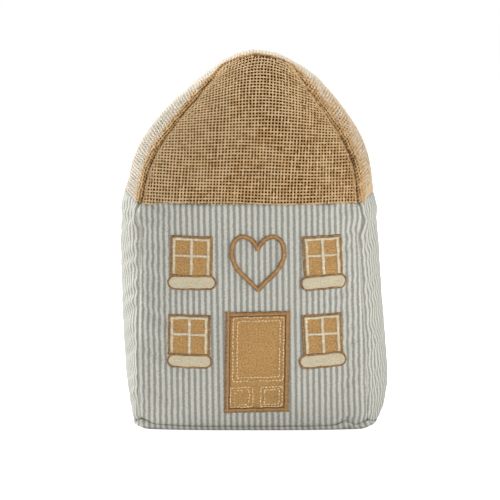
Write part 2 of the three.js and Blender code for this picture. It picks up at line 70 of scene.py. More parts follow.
class HouseForm(bpy.types.PropertyGroup):
    """The stuffed house, along the seams of its cover."""

    wall_height: length("Wall height", "From the floor to the eaves", 157)
    corner_height: length("Corner height", "From the floor to the tip's corners", 250)
    tip_height: length("Tip height", "From the floor to the top of the front seam", 257.5)
    base_width: length("Base width", "Width of the front panel at the base", 158.5)
    eaves_width: length("Eaves width", "Width of the front panel at the eaves", 147.5)
    tip_width: length("Tip width", "Width of the front panel at the tip's corners", 47.5)
    slope_rise: length("Slope rise", "How far up the slope's curve keeps to the wall", 36)
    slope_run: length("Slope run", "How far out the slope's curve leaves the tip", 36)
    slope_fall: length("Slope fall", "How far down the slope's curve leaves the tip", 47)
    base_shift: length("Base shift", "Sideways place of the base", -1)
    eaves_shift: length("Eaves shift", "Sideways place of the eaves", -3)
    tip_shift: length("Tip shift", "Sideways place of the tip", 2.4)
    base_depth: length("Base depth", "Between the front and back seams below the eaves", 100)
    tip_depth: length("Tip depth", "Between the front and back seams at the tip", 92)
    front_bulge: length("Front bulge", "How far the front and back stand out of their seams", 12)
    base_bulge: length("Base bulge", "How far the walls stand out at the base", 4)
    left_bulge_low: length("Left bulge, low", "Left wall's bulge near the base", 5)
    left_bulge_high: length("Left bulge, high", "Left wall's bulge at the eaves", 15.6)
    right_bulge_low: length("Right bulge, low", "Right wall's bulge near the base", 19.5)
    right_bulge_high: length("Right bulge, high", "Right wall's bulge at the eaves", 14)
    left_roof_bulge: length("Left roof bulge", "Left bulge a little above the eaves", 11.2)
    right_roof_bulge: length("Right roof bulge", "Right bulge a little above the eaves", 10.9)
    left_shoulder: number("Left shoulder", "The higher, the later the left bulge falls", 4)
    right_shoulder: number("Right shoulder", "The higher, the later the right bulge falls", 8)
    bulge_settling: length("Bulge settling", "Height round the eaves over which the bulge settles", 24)
    tip_bulge: length("Tip bulge", "How far the tip stands out of its seams", 1.5)
    bulge_rise: length("Bulge rise", "Height at which a wall's bulge is whole", 46)
    eaves_arch: length("Eaves arch", "How far the side eaves rise between their seams", 6)
    seam_lift: length("Seam lift", "Height of the base seam", 3.5)
    corner_lift: length("Corner lift", "Height of the base seam at the corners", 8)
    base_rim: length("Base rim", "Width of the base's turned-up rim", 14)


class HouseCloth(bpy.types.PropertyGroup):
    """The cloth of the cover."""

    stripe_pitch: length("Stripe pitch", "One dark and one light stripe of the ticking", 4.05)
    warp_pitch: length("Warp pitch", "Between two upright yarns of the hessian", 2.2)
    weft_pitch: length("Weft pitch", "Between two level yarns of the hessian", 2.2)
    yarn_width: length("Yarn width", "Width of a hessian yarn", 1.10)
    yarn_thickness: length("Yarn thickness", "Thickness of a hessian yarn", 0.9)
    cloth_thickness: length("Cloth thickness", "Thickness of the ticking", 0.9)
    pucker: length("Pucker", "How far the cloth puckers along its side seams", 0.9)
    stuffing_cap: length("Stuffing cap", "How far the simulation may pucker the cloth", 2.2)
    crease: length("Crease", "How far the seams draw the cloth in", 3.0)


class HouseTints(bpy.types.PropertyGroup):
    """The colours of the cloths and threads, as linear values."""

    stripe: tint("Stripe", "Blue-grey stripe of the ticking", (0.262, 0.276, 0.257))
    ground: tint("Ground", "Cream ground of the ticking", (0.545, 0.545, 0.488))
    hessian: tint("Hessian", "Jute yarn", (0.555, 0.338, 0.138))
    # Near-black, so that the lining is painted shade seen between the yarns
    lining: tint("Lining", "What shows between the jute yarns", (0.060, 0.020, 0.003))
    twill: tint("Twill", "Tan cloth of the door and the panes", (0.415, 0.238, 0.083))
    thread: tint("Thread", "Golden brown stitching", (0.345, 0.182, 0.056))
    cream: tint("Cream", "Cream stitching and sills", (0.515, 0.450, 0.313))
    door_thread: tint("Door thread", "Running stitch on the door", (0.720, 0.560, 0.320))
    calico: tint("Calico", "Sand bag", (0.600, 0.540, 0.420))
    fibre: tint("Fibre", "Filling", (0.820, 0.810, 0.780))


def form():
    return bpy.context.scene.house_form


def cloth():
    return bpy.context.scene.house_cloth


def tints():
    return bpy.context.scene.house_tints


# The cover's form, as whole arrays

TINY = 1e-12
LINE_STEPS = 400
NEWTON_STEPS = 12
SLOPE_LEAN = 1 * MM          # how far the slope's lower handle leans in


def mix(a, b, t):
    return a + (b - a) * t


def clamp(x):
    return np.clip(x, 0.0, 1.0)


def ease(x):
    """0 below 0, 1 above 1 and smooth between."""
    x = clamp(x)
    return x * x * (3 - 2 * x)


def unit(ways):
    return ways / np.maximum(np.linalg.norm(ways, axis=-1), TINY)[..., None]


def fullness(across):
    """1 minus the cube of the distance from the middle: 0 on both seams and 1 between them."""
    return 1 - np.abs(2 * across - 1) ** 3


def bezier(t, handles):
    """A cubic Bezier curve at shares of its way."""
    t = t[:, None]
    weights = [(1 - t) ** 3, 3 * t * (1 - t) ** 2, 3 * t ** 2 * (1 - t), t ** 3]
    return np.concatenate(weights, axis=1) @ np.array(handles)


def by_length(points, shares):
    """Points of a line at shares of its length, and the unit tangents there."""
    steps = np.linalg.norm(np.diff(points, axis=0), axis=1)
    far = np.concatenate([[0], np.cumsum(steps)]) / steps.sum()
    between = lambda rows: np.stack([np.interp(shares, far, column) for column in rows.T], -1)
    return between(points), between(unit(np.gradient(points, axis=0)))


def slope_line():
    """The left slope, from the eaves to the tip's corner."""
    f = form()
    return bezier(np.linspace(0, 1, LINE_STEPS), [
        (-f.eaves_width / 2, f.wall_height),
        (-f.eaves_width / 2 + SLOPE_LEAN, f.wall_height + f.slope_rise),
        (-f.tip_width / 2 - f.slope_run, f.corner_height - f.slope_fall),
        (-f.tip_width / 2, f.corner_height),
    ])


def tip_line():
    """The tip as a quadratic Bezier curve from its left corner to its right one."""
    f = form()
    t = np.linspace(0, 1, LINE_STEPS)[:, None]
    handles = np.array([
        (-f.tip_width / 2, f.corner_height),
        (0, 2 * f.tip_height - f.corner_height),
        (f.tip_width / 2, f.corner_height),
    ])
    return np.concatenate([(1 - t) ** 2, 2 * t * (1 - t), t ** 2], axis=1) @ handles


def shift(z):
    """How far to one side the middle stands at a height: straight from base to eaves and on to the tip."""
    f = form()
    return np.interp(z, (0, f.wall_height, f.corner_height), (f.base_shift, f.eaves_shift, f.tip_shift))


def half_depth(z):
    """Half the depth between the seams, even below the eaves and narrowing to the tip."""
    f = form()
    return mix(f.base_depth, f.tip_depth, clamp((z - f.wall_height) / (f.tip_height - f.wall_height))) / 2


def seam(along):
    """The front seam: 0 to 1 up the left wall, to 2 up the slope, to 3 over the tip, and down to 5.

    Gives the place across and up, the way out of the panel, and the level that its bulge goes by.
    The way turns from the slope's to the tip's in a short blend about their corner."""
    f = form()
    along = np.asarray(along, float)
    right = along > 2.5
    q = np.where(right, 5 - along, along)
    wall = np.stack([-mix(f.base_width, f.eaves_width, q) / 2, mix(f.corner_lift, f.wall_height, q)], -1)
    up = np.array([(f.base_width - f.eaves_width) / 2, f.wall_height - f.corner_lift])
    slope, slope_turn = by_length(slope_line(), q - 1)
    tip, tip_turn = by_length(tip_line(), q - 2)
    place = np.where((q <= 1)[..., None], wall, np.where((q <= 2)[..., None], slope, tip))
    turn = mix(slope_turn, tip_turn, ease((q - 1.96) / 0.08)[..., None])
    turn = unit(np.where((q <= 1)[..., None], up, turn))
    level = place[..., 1]
    x = place[..., 0] + shift(level)
    x = np.where(right, 2 * shift(level) - x, x)
    out = np.stack([np.where(right, turn[..., 1], -turn[..., 1]), turn[..., 0]], -1)
    return np.stack([x, level], -1), out, level


def base_seam(across):
    """The height of the base seam along one side: low in the middle and lifted at the corners."""
    f = form()
    return mix(f.seam_lift, f.corner_lift, np.abs(2 * across - 1) ** 5)


def risen(z, whole):
    """A wall's bulge, which grows from the base with the square of the height still to go."""
    f = form()
    return mix(whole, f.base_bulge, (1 - clamp(z / f.bulge_rise)) ** 2)


def wall_rise(z):
    """How far up the wall's seam a height is, as a share."""
    f = form()
    return clamp((z - f.corner_lift) / (f.wall_height - f.corner_lift))


def wall_at(way, across, z):
    rise = wall_rise(z)
    left, right = seam(rise)[0][..., 0], seam(5 - rise)[0][..., 0]
    y = half_depth(z) + risen(z, form().front_bulge) * fullness(across)
    return np.stack([mix(left, right, across), way * y, z], -1)


def wall(way):
    """The front (-1) or back (1) wall, by shares across, as its own viewer sees it, and up."""
    def surface(seen, up):
        across = seen if way < 0 else 1 - seen
        return wall_at(way, across, mix(base_seam(across), form().wall_height, up))
    return surface


def roof(way):
    """The front or back of the roof, blended between eaves, slopes and tip, by shares across and up."""
    def surface(seen, up):
        across = seen if way < 0 else 1 - seen
        ends = seam(np.array([2.0, 3.0]))[0]
        crown = seam(2 + across)[0] - mix(ends[0], ends[1], across[..., None])
        place = mix(seam(1 + up)[0], seam(4 - up)[0], across[..., None]) + crown * up[..., None]
        bulge = form().front_bulge * fullness(across) * (1 - up ** 3)
        return np.stack([place[..., 0], way * (half_depth(place[..., 1]) + bulge), place[..., 1]], -1)
    return surface


def gusset(along, back):
    """The gusset: the seam carried back, and pushed out by its bulge where it is full."""
    f = form()
    place, out, level = seam(along)
    left = along < 2.5
    low = np.where(left, f.left_bulge_low, f.right_bulge_low)
    high = np.where(left, f.left_bulge_high, f.right_bulge_high)
    above = np.where(left, f.left_roof_bulge, f.right_roof_bulge)
    shoulder = np.where(left, f.left_shoulder, f.right_shoulder)
    side = mix(low, high, 1 - (1 - clamp(level / f.wall_height)) ** 2)
    side = mix(side, above, ease((level - f.wall_height) / f.bulge_settling + 0.5))
    up = clamp((level - f.wall_height) / (f.corner_height - f.wall_height))
    bulge = mix(risen(level, side), f.tip_bulge, up ** shoulder) * fullness(back)
    rise = np.minimum(along, 5 - along)
    arch = f.eaves_arch * fullness(back) * clamp(1 - np.abs(rise - 1)) ** 2
    dip = (f.corner_lift - base_seam(back)) * clamp(1 - rise) ** 2
    x, z = place[..., 0] + out[..., 0] * bulge, place[..., 1] + out[..., 1] * bulge + arch - dip
    return np.stack([x, mix(-1, 1, back) * half_depth(level), z], -1)


def base(back, across):
    """The base: flat, its rim turned up to the seam with the square of the way to the edge."""
    left, right = gusset(0 * back, back), gusset(5 + 0 * back, back)
    front = wall_at(-1, across, base_seam(across))
    sideways = (1 - np.abs(2 * across - 1)) * (right[..., 0] - left[..., 0]) / 2
    lengthways = (np.abs(2 * back - 1) - 1) * front[..., 1]
    edge = np.where(sideways < lengthways, mix(left[..., 2], right[..., 2], across), front[..., 2])
    turn = 1 - clamp(np.minimum(sideways, lengthways) / form().base_rim)
    x = mix(left[..., 0], right[..., 0], across)
    y = mix(front[..., 1], -front[..., 1], back)
    return np.stack([x, y, edge * turn ** 2], -1)


def ripple(s, period, seed):
    """An uneven wave along a seam: three sines near a period, with phases drawn from a seed."""
    draw = np.random.default_rng(seed)
    total = 0 * s
    for stretch, weight in ((0.83, 0.8), (1.17, 1.0), (2.1, 0.6)):
        total = total + weight * np.sin(2 * np.pi * s / (period * stretch) + draw.uniform(0, 2 * np.pi))
    return total / 1.6


def beside(distance, reach):
    """0 on a seam, 1 at a reach from it, and fading beyond."""
    r = distance / reach
    return r * np.exp(1 - r)


class Panel:
    """A cloth panel held as a fine grid of places, with ways out of it and flat cloth coordinates.

    Its surface is a function of two shares. Its first cloth coordinate runs across it from the middle,
    along the first share, and its second along the second share. Its yarns, where it has any, meet at
    the shares called shut, and are darkened with painted shade beside two neighbouring seams, the first of
    which the panel names."""

    def __init__(self, surface, first, second, step=1.2 * MM):
        self.a = np.linspace(0, 1, max(8, int(first / step)))
        self.b = np.linspace(0, 1, max(8, int(second / step)))
        self.surface = surface
        self.places = surface(*self.grid(self.a, self.b))
        self.shut, self.worn, self.bleach, self.fade = (0.5, 0.5), 0, 0.0, 0.0
        self.measure()

    @staticmethod
    def grid(a, b):
        return np.meshgrid(a, b, indexing="ij")

    def measure(self):
        """Works out the ways out and the cloth coordinates, as lengths along the grid's lines."""
        along, over = np.gradient(self.places, axis=0), np.gradient(self.places, axis=1)
        self.out = unit(np.cross(along, over))
        self.first, self.second = self.lengths(0), self.lengths(1)

    def lengths(self, axis):
        steps = np.linalg.norm(np.diff(self.places, axis=axis), axis=-1)
        far = np.cumsum(np.insert(steps, 0, 0, axis=axis), axis=axis)
        return far - np.take(far, [far.shape[axis] // 2], axis=axis)

    def edges(self):
        """Distances to the four seams: first share's start and end, and second share's start and end."""
        f, s = self.first, self.second
        return f - f[:1], f[-1:] - f, s - s[:, :1], s[:, -1:] - s

    def cut(self, step):
        """Shares that cut the panel into cells of about one size."""
        counts = [max(3, int(round(np.ptp(field) / step)) + 1) for field in (self.first, self.second)]
        return [np.linspace(0, 1, count) for count in counts]

    def push(self, height, aside=None, axis=0):
        """Moves the surface out by a height, and aside along its first or second share."""
        self.places = self.places + self.out * height[..., None]
        if aside is not None:
            along = unit(np.gradient(self.places, axis=axis))
            self.places = self.places + along * aside[..., None]
        self.measure()

    def sample(self, grid, a, b):
        """Values between the grid's points, straight between neighbours and on past the edges."""
        x, y = a * (len(self.a) - 1), b * (len(self.b) - 1)
        i = np.clip(np.floor(x).astype(int), 0, len(self.a) - 2)
        j = np.clip(np.floor(y).astype(int), 0, len(self.b) - 2)
        u, v = x - i, y - j
        if grid.ndim == 3:
            u, v = u[..., None], v[..., None]
        low = mix(grid[i, j], grid[i + 1, j], u)
        high = mix(grid[i, j + 1], grid[i + 1, j + 1], u)
        return mix(low, high, v)

    def find(self, first, second, want_first, want_second):
        """Shares at which two of its fields take wanted values, by Newton's steps."""
        a, b = np.full(want_first.shape, 0.5), np.full(want_first.shape, 0.5)
        slopes = [np.gradient(field, self.a, self.b) for field in (first, second)]
        for _ in range(NEWTON_STEPS):
            e = want_first - self.sample(first, a, b)
            g = want_second - self.sample(second, a, b)
            (ea, eb), (ga, gb) = [[self.sample(s, clamp(a), clamp(b)) for s in pair] for pair in slopes]
            det = ea * gb - eb * ga
            det = np.where(np.abs(det) < TINY, TINY, det)
            a = np.clip(a + (e * gb - g * eb) / det, -0.2, 1.2)
            b = np.clip(b + (g * ea - e * ga) / det, -0.2, 1.2)
        return a, b

    def at(self, a, b, lift):
        """Places over the cloth at a lift, and the ways out there."""
        out = unit(self.sample(self.out, a, b))
        return self.sample(self.places, a, b) + out * np.asarray(lift)[..., None], out


PANELS = {}


WAVE = 11 * MM               # length of the puckers beside a seam
FINE_WAVE = 6 * MM           # length of the finer ones between them
PUCKER_REACH = 11 * MM       # how far the puckers reach from their seam
FINE_REACH = 4 * MM
ASIDE_REACH = 12 * MM        # how far they shift the stripes beside it


def pucker(panel, axis, strengths, seeds):
    """Puckers a panel along the two seams that its first (0) or second (1) share crosses."""
    whole = cloth().pucker
    run = panel.second if axis == 0 else panel.first
    height, aside = 0 * run, 0 * run
    seams = panel.edges()[2 * axis:2 * axis + 2]
    for distance, strength, seed, way in zip(seams, strengths, seeds, (1, -1)):
        wave = ripple(run + 0.45 * distance, WAVE, seed)
        fine = ripple(run - 0.3 * distance, FINE_WAVE, seed + 50)
        rolls = 0.85 * wave * beside(distance, PUCKER_REACH) + 0.2 * fine * beside(distance, FINE_REACH)
        height = height + strength * whole * rolls
        aside = aside + way * strength * whole * 0.65 * wave * beside(distance, ASIDE_REACH)
    panel.push(height, aside, axis)


# How deep the seams lie, in creases, and how far that reaches, in millimetres
SIDE_SEAM = 0.15, 2.2
BASE_SEAM = 0.25, 3
EAVES_SEAM = 0.1, 2.5
SLOPE_SEAM = 1, 1.1
TIP_SEAM = 0.15, 1.1


def sink(panel, *rows):
    """Draws seams in, by a depth that fades with the distance.

    Each row is an edge, the ways between its two panels, a depth in creases and a reach in millimetres."""
    for edge, ways, depth, reach in rows:
        near = np.exp(-panel.edges()[edge] / (reach * MM))
        panel.places = panel.places - (depth * cloth().crease * near)[..., None] * unit(np.array(ways, float))


def seam_ways(along, way):
    """The ways between the front (-1) or back (1) panels and the gusset beside them."""
    out = seam(along)[1]
    return np.stack([out[..., 0], way + 0 * out[..., 0], out[..., 1]], -1)


def crease_front_and_back():
    for side, way in (("front", -1), ("back", 1)):
        panel = PANELS[f"{side}_wall"]
        rise = wall_rise(panel.places[..., 2])
        left, right = (rise, 5 - rise)[::-way]
        sink(
            panel,
            (0, seam_ways(left, way), *SIDE_SEAM),
            (1, seam_ways(right, way), *SIDE_SEAM),
            (2, (0, way, -1), *BASE_SEAM),
            (3, (0, way, 0), *EAVES_SEAM),
        )
        panel = PANELS[f"{side}_roof"]
        A, B = panel.grid(panel.a, panel.b)
        left, right = (1 + B, 4 - B)[::-way]
        sink(
            panel,
            (0, seam_ways(left, way), *SLOPE_SEAM),
            (1, seam_ways(right, way), *SLOPE_SEAM),
            (2, (0, way, 0), *EAVES_SEAM),
            (3, seam_ways(2 + A if way < 0 else 3 - A, way), *TIP_SEAM),
        )


def crease_gusset(over):
    """The gusset's front and back seams, and its pieces' ends: at the eaves (1) or the base (0)."""
    for name, along, ends in (
        ("left_wall", PANELS["left_wall"].a, (0, 1)),
        ("right_wall", 4 + PANELS["right_wall"].a, (1, 0)),
        ("roof_strip", over, (1, 1)),
    ):
        panel = PANELS[name]
        line = np.broadcast_to(along[:, None], panel.first.shape)
        low, tip = (line < 1) | (line > 4), (line > 2) & (line < 3)
        depth, reach = np.where(low | tip, 0.15, 1.0), np.where(low, 2.2, 1.5)
        rows = [(edge, seam_ways(line, way), depth, reach) for edge, way in ((2, -1), (3, 1))]
        for edge, eaves in enumerate(ends):
            out = seam(along[-edge])[1]
            ways = (out[0], 0, out[1] if eaves else -1)
            rows.append((edge, ways, *(EAVES_SEAM if eaves else BASE_SEAM)))
        sink(panel, *rows)


LIP = 2.4 * MM
LIP_REACH = 3.2 * MM


def crease_base():
    """The base's seams, with a narrow lip that stands out beside each."""
    panel = PANELS["base"]
    ways = ((0, -1), (0, 1), (-1, 0), (1, 0))
    sink(panel, *((edge, (*way, -1), *BASE_SEAM) for edge, way in enumerate(ways)))
    for edge, way in enumerate(ways):
        lip = LIP * beside(panel.edges()[edge], LIP_REACH)
        panel.places = panel.places + lip[..., None] * np.array([*way, 0.0])


def swell(panel, heights, reach=5 * MM):
    """Raises the cloth a little way beside its seams, so that each seam lies between two soft rolls."""
    total = 0 * panel.first
    for distance, height in zip(panel.edges(), heights):
        total = total + height * beside(distance, reach)
    panel.push(total)


# Stuffing, by cloth simulation

CELL = 4 * MM                # the simulated cover's cells
WELD = 0.2 * MM              # points this near become one
OFF_GRID = 0.377             # keeps the seams' points off the borders of that grid
FLOOR_REACH = 1 * MM         # what lies lower than this rests on the floor
LAST_FRAME = 20
SMOOTHINGS = 40
STUFFING_REACH = 20 * MM     # how far the simulated puckers reach from a seam
STUFFING_LEFT = 0.25         # what is left of them further in
STUFFING_ON_ROOF = 0.4       # and on the hessian


def coarse_shares(f, ends):
    """Shares at which the panels are cut for the simulation: seams get the same points from both sides."""
    count = lambda size: np.linspace(0, 1, int(round(size / CELL)) + 1)
    across, up, deep = count(f.base_width), count(f.wall_height), count(f.base_depth)
    slope = count(f.corner_height - f.wall_height)
    strip = [slope * ends[1], mix(ends[1], ends[2], across), mix(ends[2], 1, slope)]
    strip = np.unique(np.concatenate(strip).round(9))
    return {
        "front_wall": (across, up),
        "back_wall": (across, up),
        "left_wall": (up, deep),
        "right_wall": (up, deep),
        "front_roof": (across, slope),
        "back_roof": (across, slope),
        "roof_strip": (strip, deep),
        "base": (deep, across),
    }


def sewn_cover(shares):
    """The whole cover as one coarse mesh: its points, quads, and each panel's point numbers."""
    verts, faces, numbers, start = [], [], {}, 0
    for name, (a, b) in shares.items():
        A, B = Panel.grid(a, b)
        verts.append(PANELS[name].surface(A, B).reshape(-1, 3))
        faces.append(grid_faces(*A.shape, start))
        numbers[name] = np.arange(start, start + A.size).reshape(A.shape)
        start += A.size
    verts, faces = np.concatenate(verts), np.concatenate(faces)
    cells = np.floor(verts / WELD + OFF_GRID).astype(int)
    first, merged = np.unique(cells, axis=0, return_index=True, return_inverse=True)[1:]
    merged = merged.reshape(-1)
    on_seam = np.bincount(merged) > 1
    return verts[first], merged[faces], {name: merged[grid] for name, grid in numbers.items()}, on_seam


def stuffed(verts, faces, on_seam):
    """How far the cover's points move when its panels, cut a little large, fill between held seams."""
    piece = mesh_object("stuffed_cover", verts, faces, material("fibre"))
    held = np.flatnonzero(on_seam | (verts[:, 2] < FLOOR_REACH))
    piece.vertex_groups.new(name="held").add(held.tolist(), 1.0, "REPLACE")
    work = piece.modifiers.new("stuffing", "CLOTH")
    settings = work.settings
    settings.quality, settings.mass = 6, 0.3
    settings.tension_stiffness = settings.compression_stiffness = 80
    settings.shear_stiffness, settings.bending_stiffness = 20, 0.1
    settings.use_pressure, settings.uniform_pressure_force = True, 4
    settings.vertex_group_mass = "held"
    settings.shrink_min = -0.03
    settings.effector_weights.gravity = 0
    work.collision_settings.use_collision = False
    work.point_cache.frame_start, work.point_cache.frame_end = 1, LAST_FRAME
    scene = bpy.context.scene
    for frame_number in range(1, LAST_FRAME + 1):
        scene.frame_set(frame_number)
    moved = piece.evaluated_get(bpy.context.evaluated_depsgraph_get()).data
    places = np.empty(len(verts) * 3, np.float32)
    moved.vertices.foreach_get("co", places)
    places = places.reshape(-1, 3).astype(float)
    scene.frame_set(1)
    bpy.data.objects.remove(piece)
    return places - verts


def smoothed(values, faces):
    """Values moved half way to the mean of their neighbours, many times over."""
    pairs = np.concatenate([np.stack([faces[:, k], faces[:, (k + 1) % 4]], -1) for k in range(4)])
    here, there = np.concatenate([pairs, pairs[:, ::-1]]).T
    degree = np.maximum(np.bincount(here, minlength=len(values)), 1)[:, None]
    for _ in range(SMOOTHINGS):
        around = np.stack([np.bincount(here, column[there], len(values)) for column in values.T], -1)
        values = (values + around / degree) / 2
    return values


def spline_weights(fine, coarse):
    """Weights of a cubic B-spline through coarse shares, at fine ones, carried straight on at its ends."""
    t = np.interp(fine, coarse, np.arange(len(coarse)))
    i = np.minimum(t.astype(int), len(coarse) - 2)
    u = t - i
    row = np.arange(len(fine))
    padded = np.zeros((len(fine), len(coarse) + 2))
    parts = ((1 - u) ** 3, 3 * u ** 3 - 6 * u ** 2 + 4, 1 + 3 * u + 3 * u ** 2 - 3 * u ** 3, u ** 3)
    for k, weight in enumerate(parts):
        padded[row, i + k] = weight / 6
    weights = padded[:, 1:-1].copy()
    for end, step, beyond in ((0, 1, 0), (-1, -1, -1)):
        weights[:, end] += 2 * padded[:, beyond]
        weights[:, end + step] -= padded[:, beyond]
    return weights


def stuff_panels(f, ends):
    """Gives the panels the puckers of the simulated cover: its moves less their smooth part, capped.

    They are strongest beside the seams of the front and back, and weaker on the hessian."""
    shares = coarse_shares(f, ends)
    verts, faces, numbers, on_seam = sewn_cover(shares)
    moves = stuffed(verts, faces, on_seam)
    moves = moves - smoothed(moves, faces)
    moves[verts[:, 2] < FLOOR_REACH] = 0
    size = np.maximum(np.linalg.norm(moves, axis=1), TINY)
    moves *= np.minimum(1, cloth().stuffing_cap / size)[:, None]
    for name, (a, b) in shares.items():
        panel = PANELS[name]
        over = np.einsum("ij,jkc->ikc", spline_weights(panel.a, a), moves[numbers[name]])
        puckers = np.einsum("kj,ijc->ikc", spline_weights(panel.b, b), over)
        sides = panel.edges()[:2] if name.startswith(("front", "back")) else panel.edges()[2:]
        near = np.exp(-np.minimum(*sides) / STUFFING_REACH)
        give = mix(STUFFING_LEFT, 1.0, near) * (STUFFING_ON_ROOF if "roof" in name else 1.0)
        panel.places = panel.places + puckers * give[..., None]
        panel.measure()


ROLL = 0.7                   # a whole roll's height, in creases
ROLL_OVER_TIP = 0.15         # what is left of the gusset's rolls over the tip
ROLL_LEAN = 3.2 * MM         # how far those rolls lean towards the front and back
GUSSET_PAINTED_LIGHT = 0.6                 # painted light on the gusset's jute, pale further in, with painted shade by its seams
SIDE_PAINTED_LIGHT = 0.16                  # painted light on the front's jute: paler at its left and its top

# The rolls beside each panel's four seams, in shares of a whole roll
ROLLS = {
    "front_wall": (0.3, 0.3, 0, 0.15),
    "back_wall": (0.3, 0.3, 0, 0.15),
    "left_wall": (0, 0, 0.3, 0.3),
    "right_wall": (0, 0, 0.3, 0.3),
    "front_roof": (0.4, 0.4, 0.15, 0.2),
    "back_roof": (0.4, 0.4, 0.15, 0.2),
    "roof_strip": (0, 0, 0.6, 0.6),
}

# Which share's seams each panel puckers along, how strongly at both, and the seeds of its waves
PUCKERS = (
    ("front_wall", 0, (1.0, 0.9), (11, 12)),
    ("back_wall", 0, (0.8, 0.9), (13, 14)),
    ("left_wall", 1, (1.0, 0.9), (11, 15)),
    ("right_wall", 1, (0.9, 1.0), (12, 16)),
    ("front_roof", 0, (0.35, 0.35), (21, 22)),
    ("back_roof", 0, (0.35, 0.35), (23, 24)),
    ("roof_strip", 1, (0.35, 0.35), (25, 26)),
    ("front_wall", 1, (0.12, 0.10), (31, 32)),
)

# Where the sewn corners pull the cover: centre, pull and reach, in millimetres
TUGS = (
    ((-77, -50, 148.5), (-4.6, -0.5, -0.5), 7.5),
    ((-76, -50, 141), (0.8, 1.5, 0), 6),
    ((-66, -52, 150), (0, 1.2, 0), 7),
    ((74, -50, 146), (4.6, -0.5, -0.5), 9),
    ((72, -52, 137), (-1.8, 1.6, 0), 7),
    ((62, -56, 143), (0, 1.0, 0), 8),
    ((80, -42, 150), (-1.2, 1.0, 0), 7),
    ((74, 50, 147), (4.0, 0.5, -0.5), 8),
    ((-77, 50, 147), (-4.0, 0.5, -0.5), 8),
    ((63, -54, 6), (0, 1.2, 2.9), 4.5),
    ((69.5, -53, 6), (0, 0.8, -1.6), 4),
    ((78, -48, 8), (0, 1.5, -0.4), 9),
    ((-78, -50, 9), (1.5, 1.5, 0.8), 8),
)


def tug(places, centre, pull, reach):
    """Pulls every place near a centre along a pull, as a bell of a reach: seams stay shut under it."""
    near = np.exp(-(np.linalg.norm(places - np.array(centre) * MM, axis=-1) / (reach * MM)) ** 2)
    return places + near[..., None] * np.array(pull) * MM


def make_panels():
    """The cover's panels, with their creases, puckers and folds."""
    f = form()
    size = lambda line: float(np.linalg.norm(np.diff(line, axis=0), axis=1).sum())
    slope, tip = size(slope_line()), size(tip_line())
    whole = 2 * slope + tip
    ends = np.array([0, slope, slope + tip, whole]) / whole
    along = lambda a: np.interp(a, ends, (1, 2, 3, 4))
    PANELS.update({
        "front_wall": Panel(wall(-1), f.base_width, f.wall_height),
        "back_wall": Panel(wall(1), f.base_width, f.wall_height),
        "left_wall": Panel(gusset, f.wall_height, f.base_depth),
        "right_wall": Panel(lambda a, b: gusset(4 + a, b), f.wall_height, f.base_depth),
        "front_roof": Panel(roof(-1), f.eaves_width, slope),
        "back_roof": Panel(roof(1), f.eaves_width, slope),
        "roof_strip": Panel(lambda a, b: gusset(along(a), b), whole, f.base_depth),
        "base": Panel(base, f.base_depth, f.base_width),
    })
    strip = PANELS["roof_strip"]
    strip.shut, strip.worn, strip.bleach = (ends[1], ends[2]), 2, GUSSET_PAINTED_LIGHT
    PANELS["front_roof"].fade = SIDE_PAINTED_LIGHT
    stuff_panels(f, ends)
    crease_front_and_back()
    crease_gusset(along(strip.a))
    crease_base()
    for panel in PANELS.values():
        panel.measure()
    over_tip = clamp(np.minimum(strip.a - ends[1], ends[2] - strip.a) / 0.06 + 0.5)[:, None]
    off_tip = mix(1.0, ROLL_OVER_TIP, over_tip)
    roll = ROLL * cloth().crease
    for name, shares in ROLLS.items():
        full = off_tip if name == "roof_strip" else 1
        swell(PANELS[name], [share * roll * full for share in shares])
    lean = beside(strip.edges()[3], 7 * MM) - beside(strip.edges()[2], 7 * MM)
    strip.places = strip.places + (ROLL_LEAN * lean * off_tip)[..., None] * np.array([0.0, 1.0, 0.0])
    strip.measure()
    for name, axis, strengths, seeds in PUCKERS:
        pucker(PANELS[name], axis, strengths, seeds)
    for panel in PANELS.values():
        for centre, pull, reach in TUGS:
            panel.places = tug(panel.places, centre, pull, reach)
        panel.measure()


# Meshes


def mesh_object(name, verts, faces, material, uvs=None, tones=None, smooth=True):
    """A new object at the origin from whole arrays; faces are rows of three or four, or a list of such."""
    mesh = bpy.data.meshes.new(name)
    rows = faces if isinstance(faces, list) else [faces]
    corners = np.concatenate([r.reshape(-1) for r in rows]).astype(np.int32)
    sizes = np.concatenate([np.full(len(r), r.shape[1]) for r in rows]).astype(np.int32)
    mesh.vertices.add(len(verts))
    mesh.vertices.foreach_set("co", np.ascontiguousarray(verts, np.float32).reshape(-1))
    mesh.loops.add(len(corners))
    mesh.loops.foreach_set("vertex_index", corners)
    mesh.polygons.add(len(sizes))
    mesh.polygons.foreach_set("loop_start", np.concatenate([[0], np.cumsum(sizes)[:-1]]).astype(np.int32))
    mesh.polygons.foreach_set("use_smooth", np.full(len(sizes), smooth))
    if uvs is not None:
        layer = mesh.uv_layers.new(name="Cloth")
        layer.data.foreach_set("uv", np.ascontiguousarray(uvs[corners], np.float32).reshape(-1))
    if tones is not None:
        tone = mesh.attributes.new("tone", "FLOAT", "POINT")
        tone.data.foreach_set("value", np.ascontiguousarray(tones, np.float32))
    mesh.update()
    mesh.validate()
    piece = bpy.data.objects.new(name, mesh)
    bpy.context.scene.collection.objects.link(piece)
    mesh.materials.append(material)
    return piece


def grid_faces(rows, columns, start=0, turned=False):
    """Quads of a grid of numbered points."""
    i, j = np.meshgrid(np.arange(rows - 1), np.arange(columns - 1), indexing="ij")
    here = i * columns + j
    quads = np.stack([here, here + columns, here + columns + 1, here + 1], -1).reshape(-1, 4) + start
    return quads[:, ::-1] if turned else quads


def tube_faces(here, there):
    """Quads between rings of point numbers and the next rings."""
    return np.stack([here, np.roll(here, -1, -1), np.roll(there, -1, -1), there], -1).reshape(-1, 4)


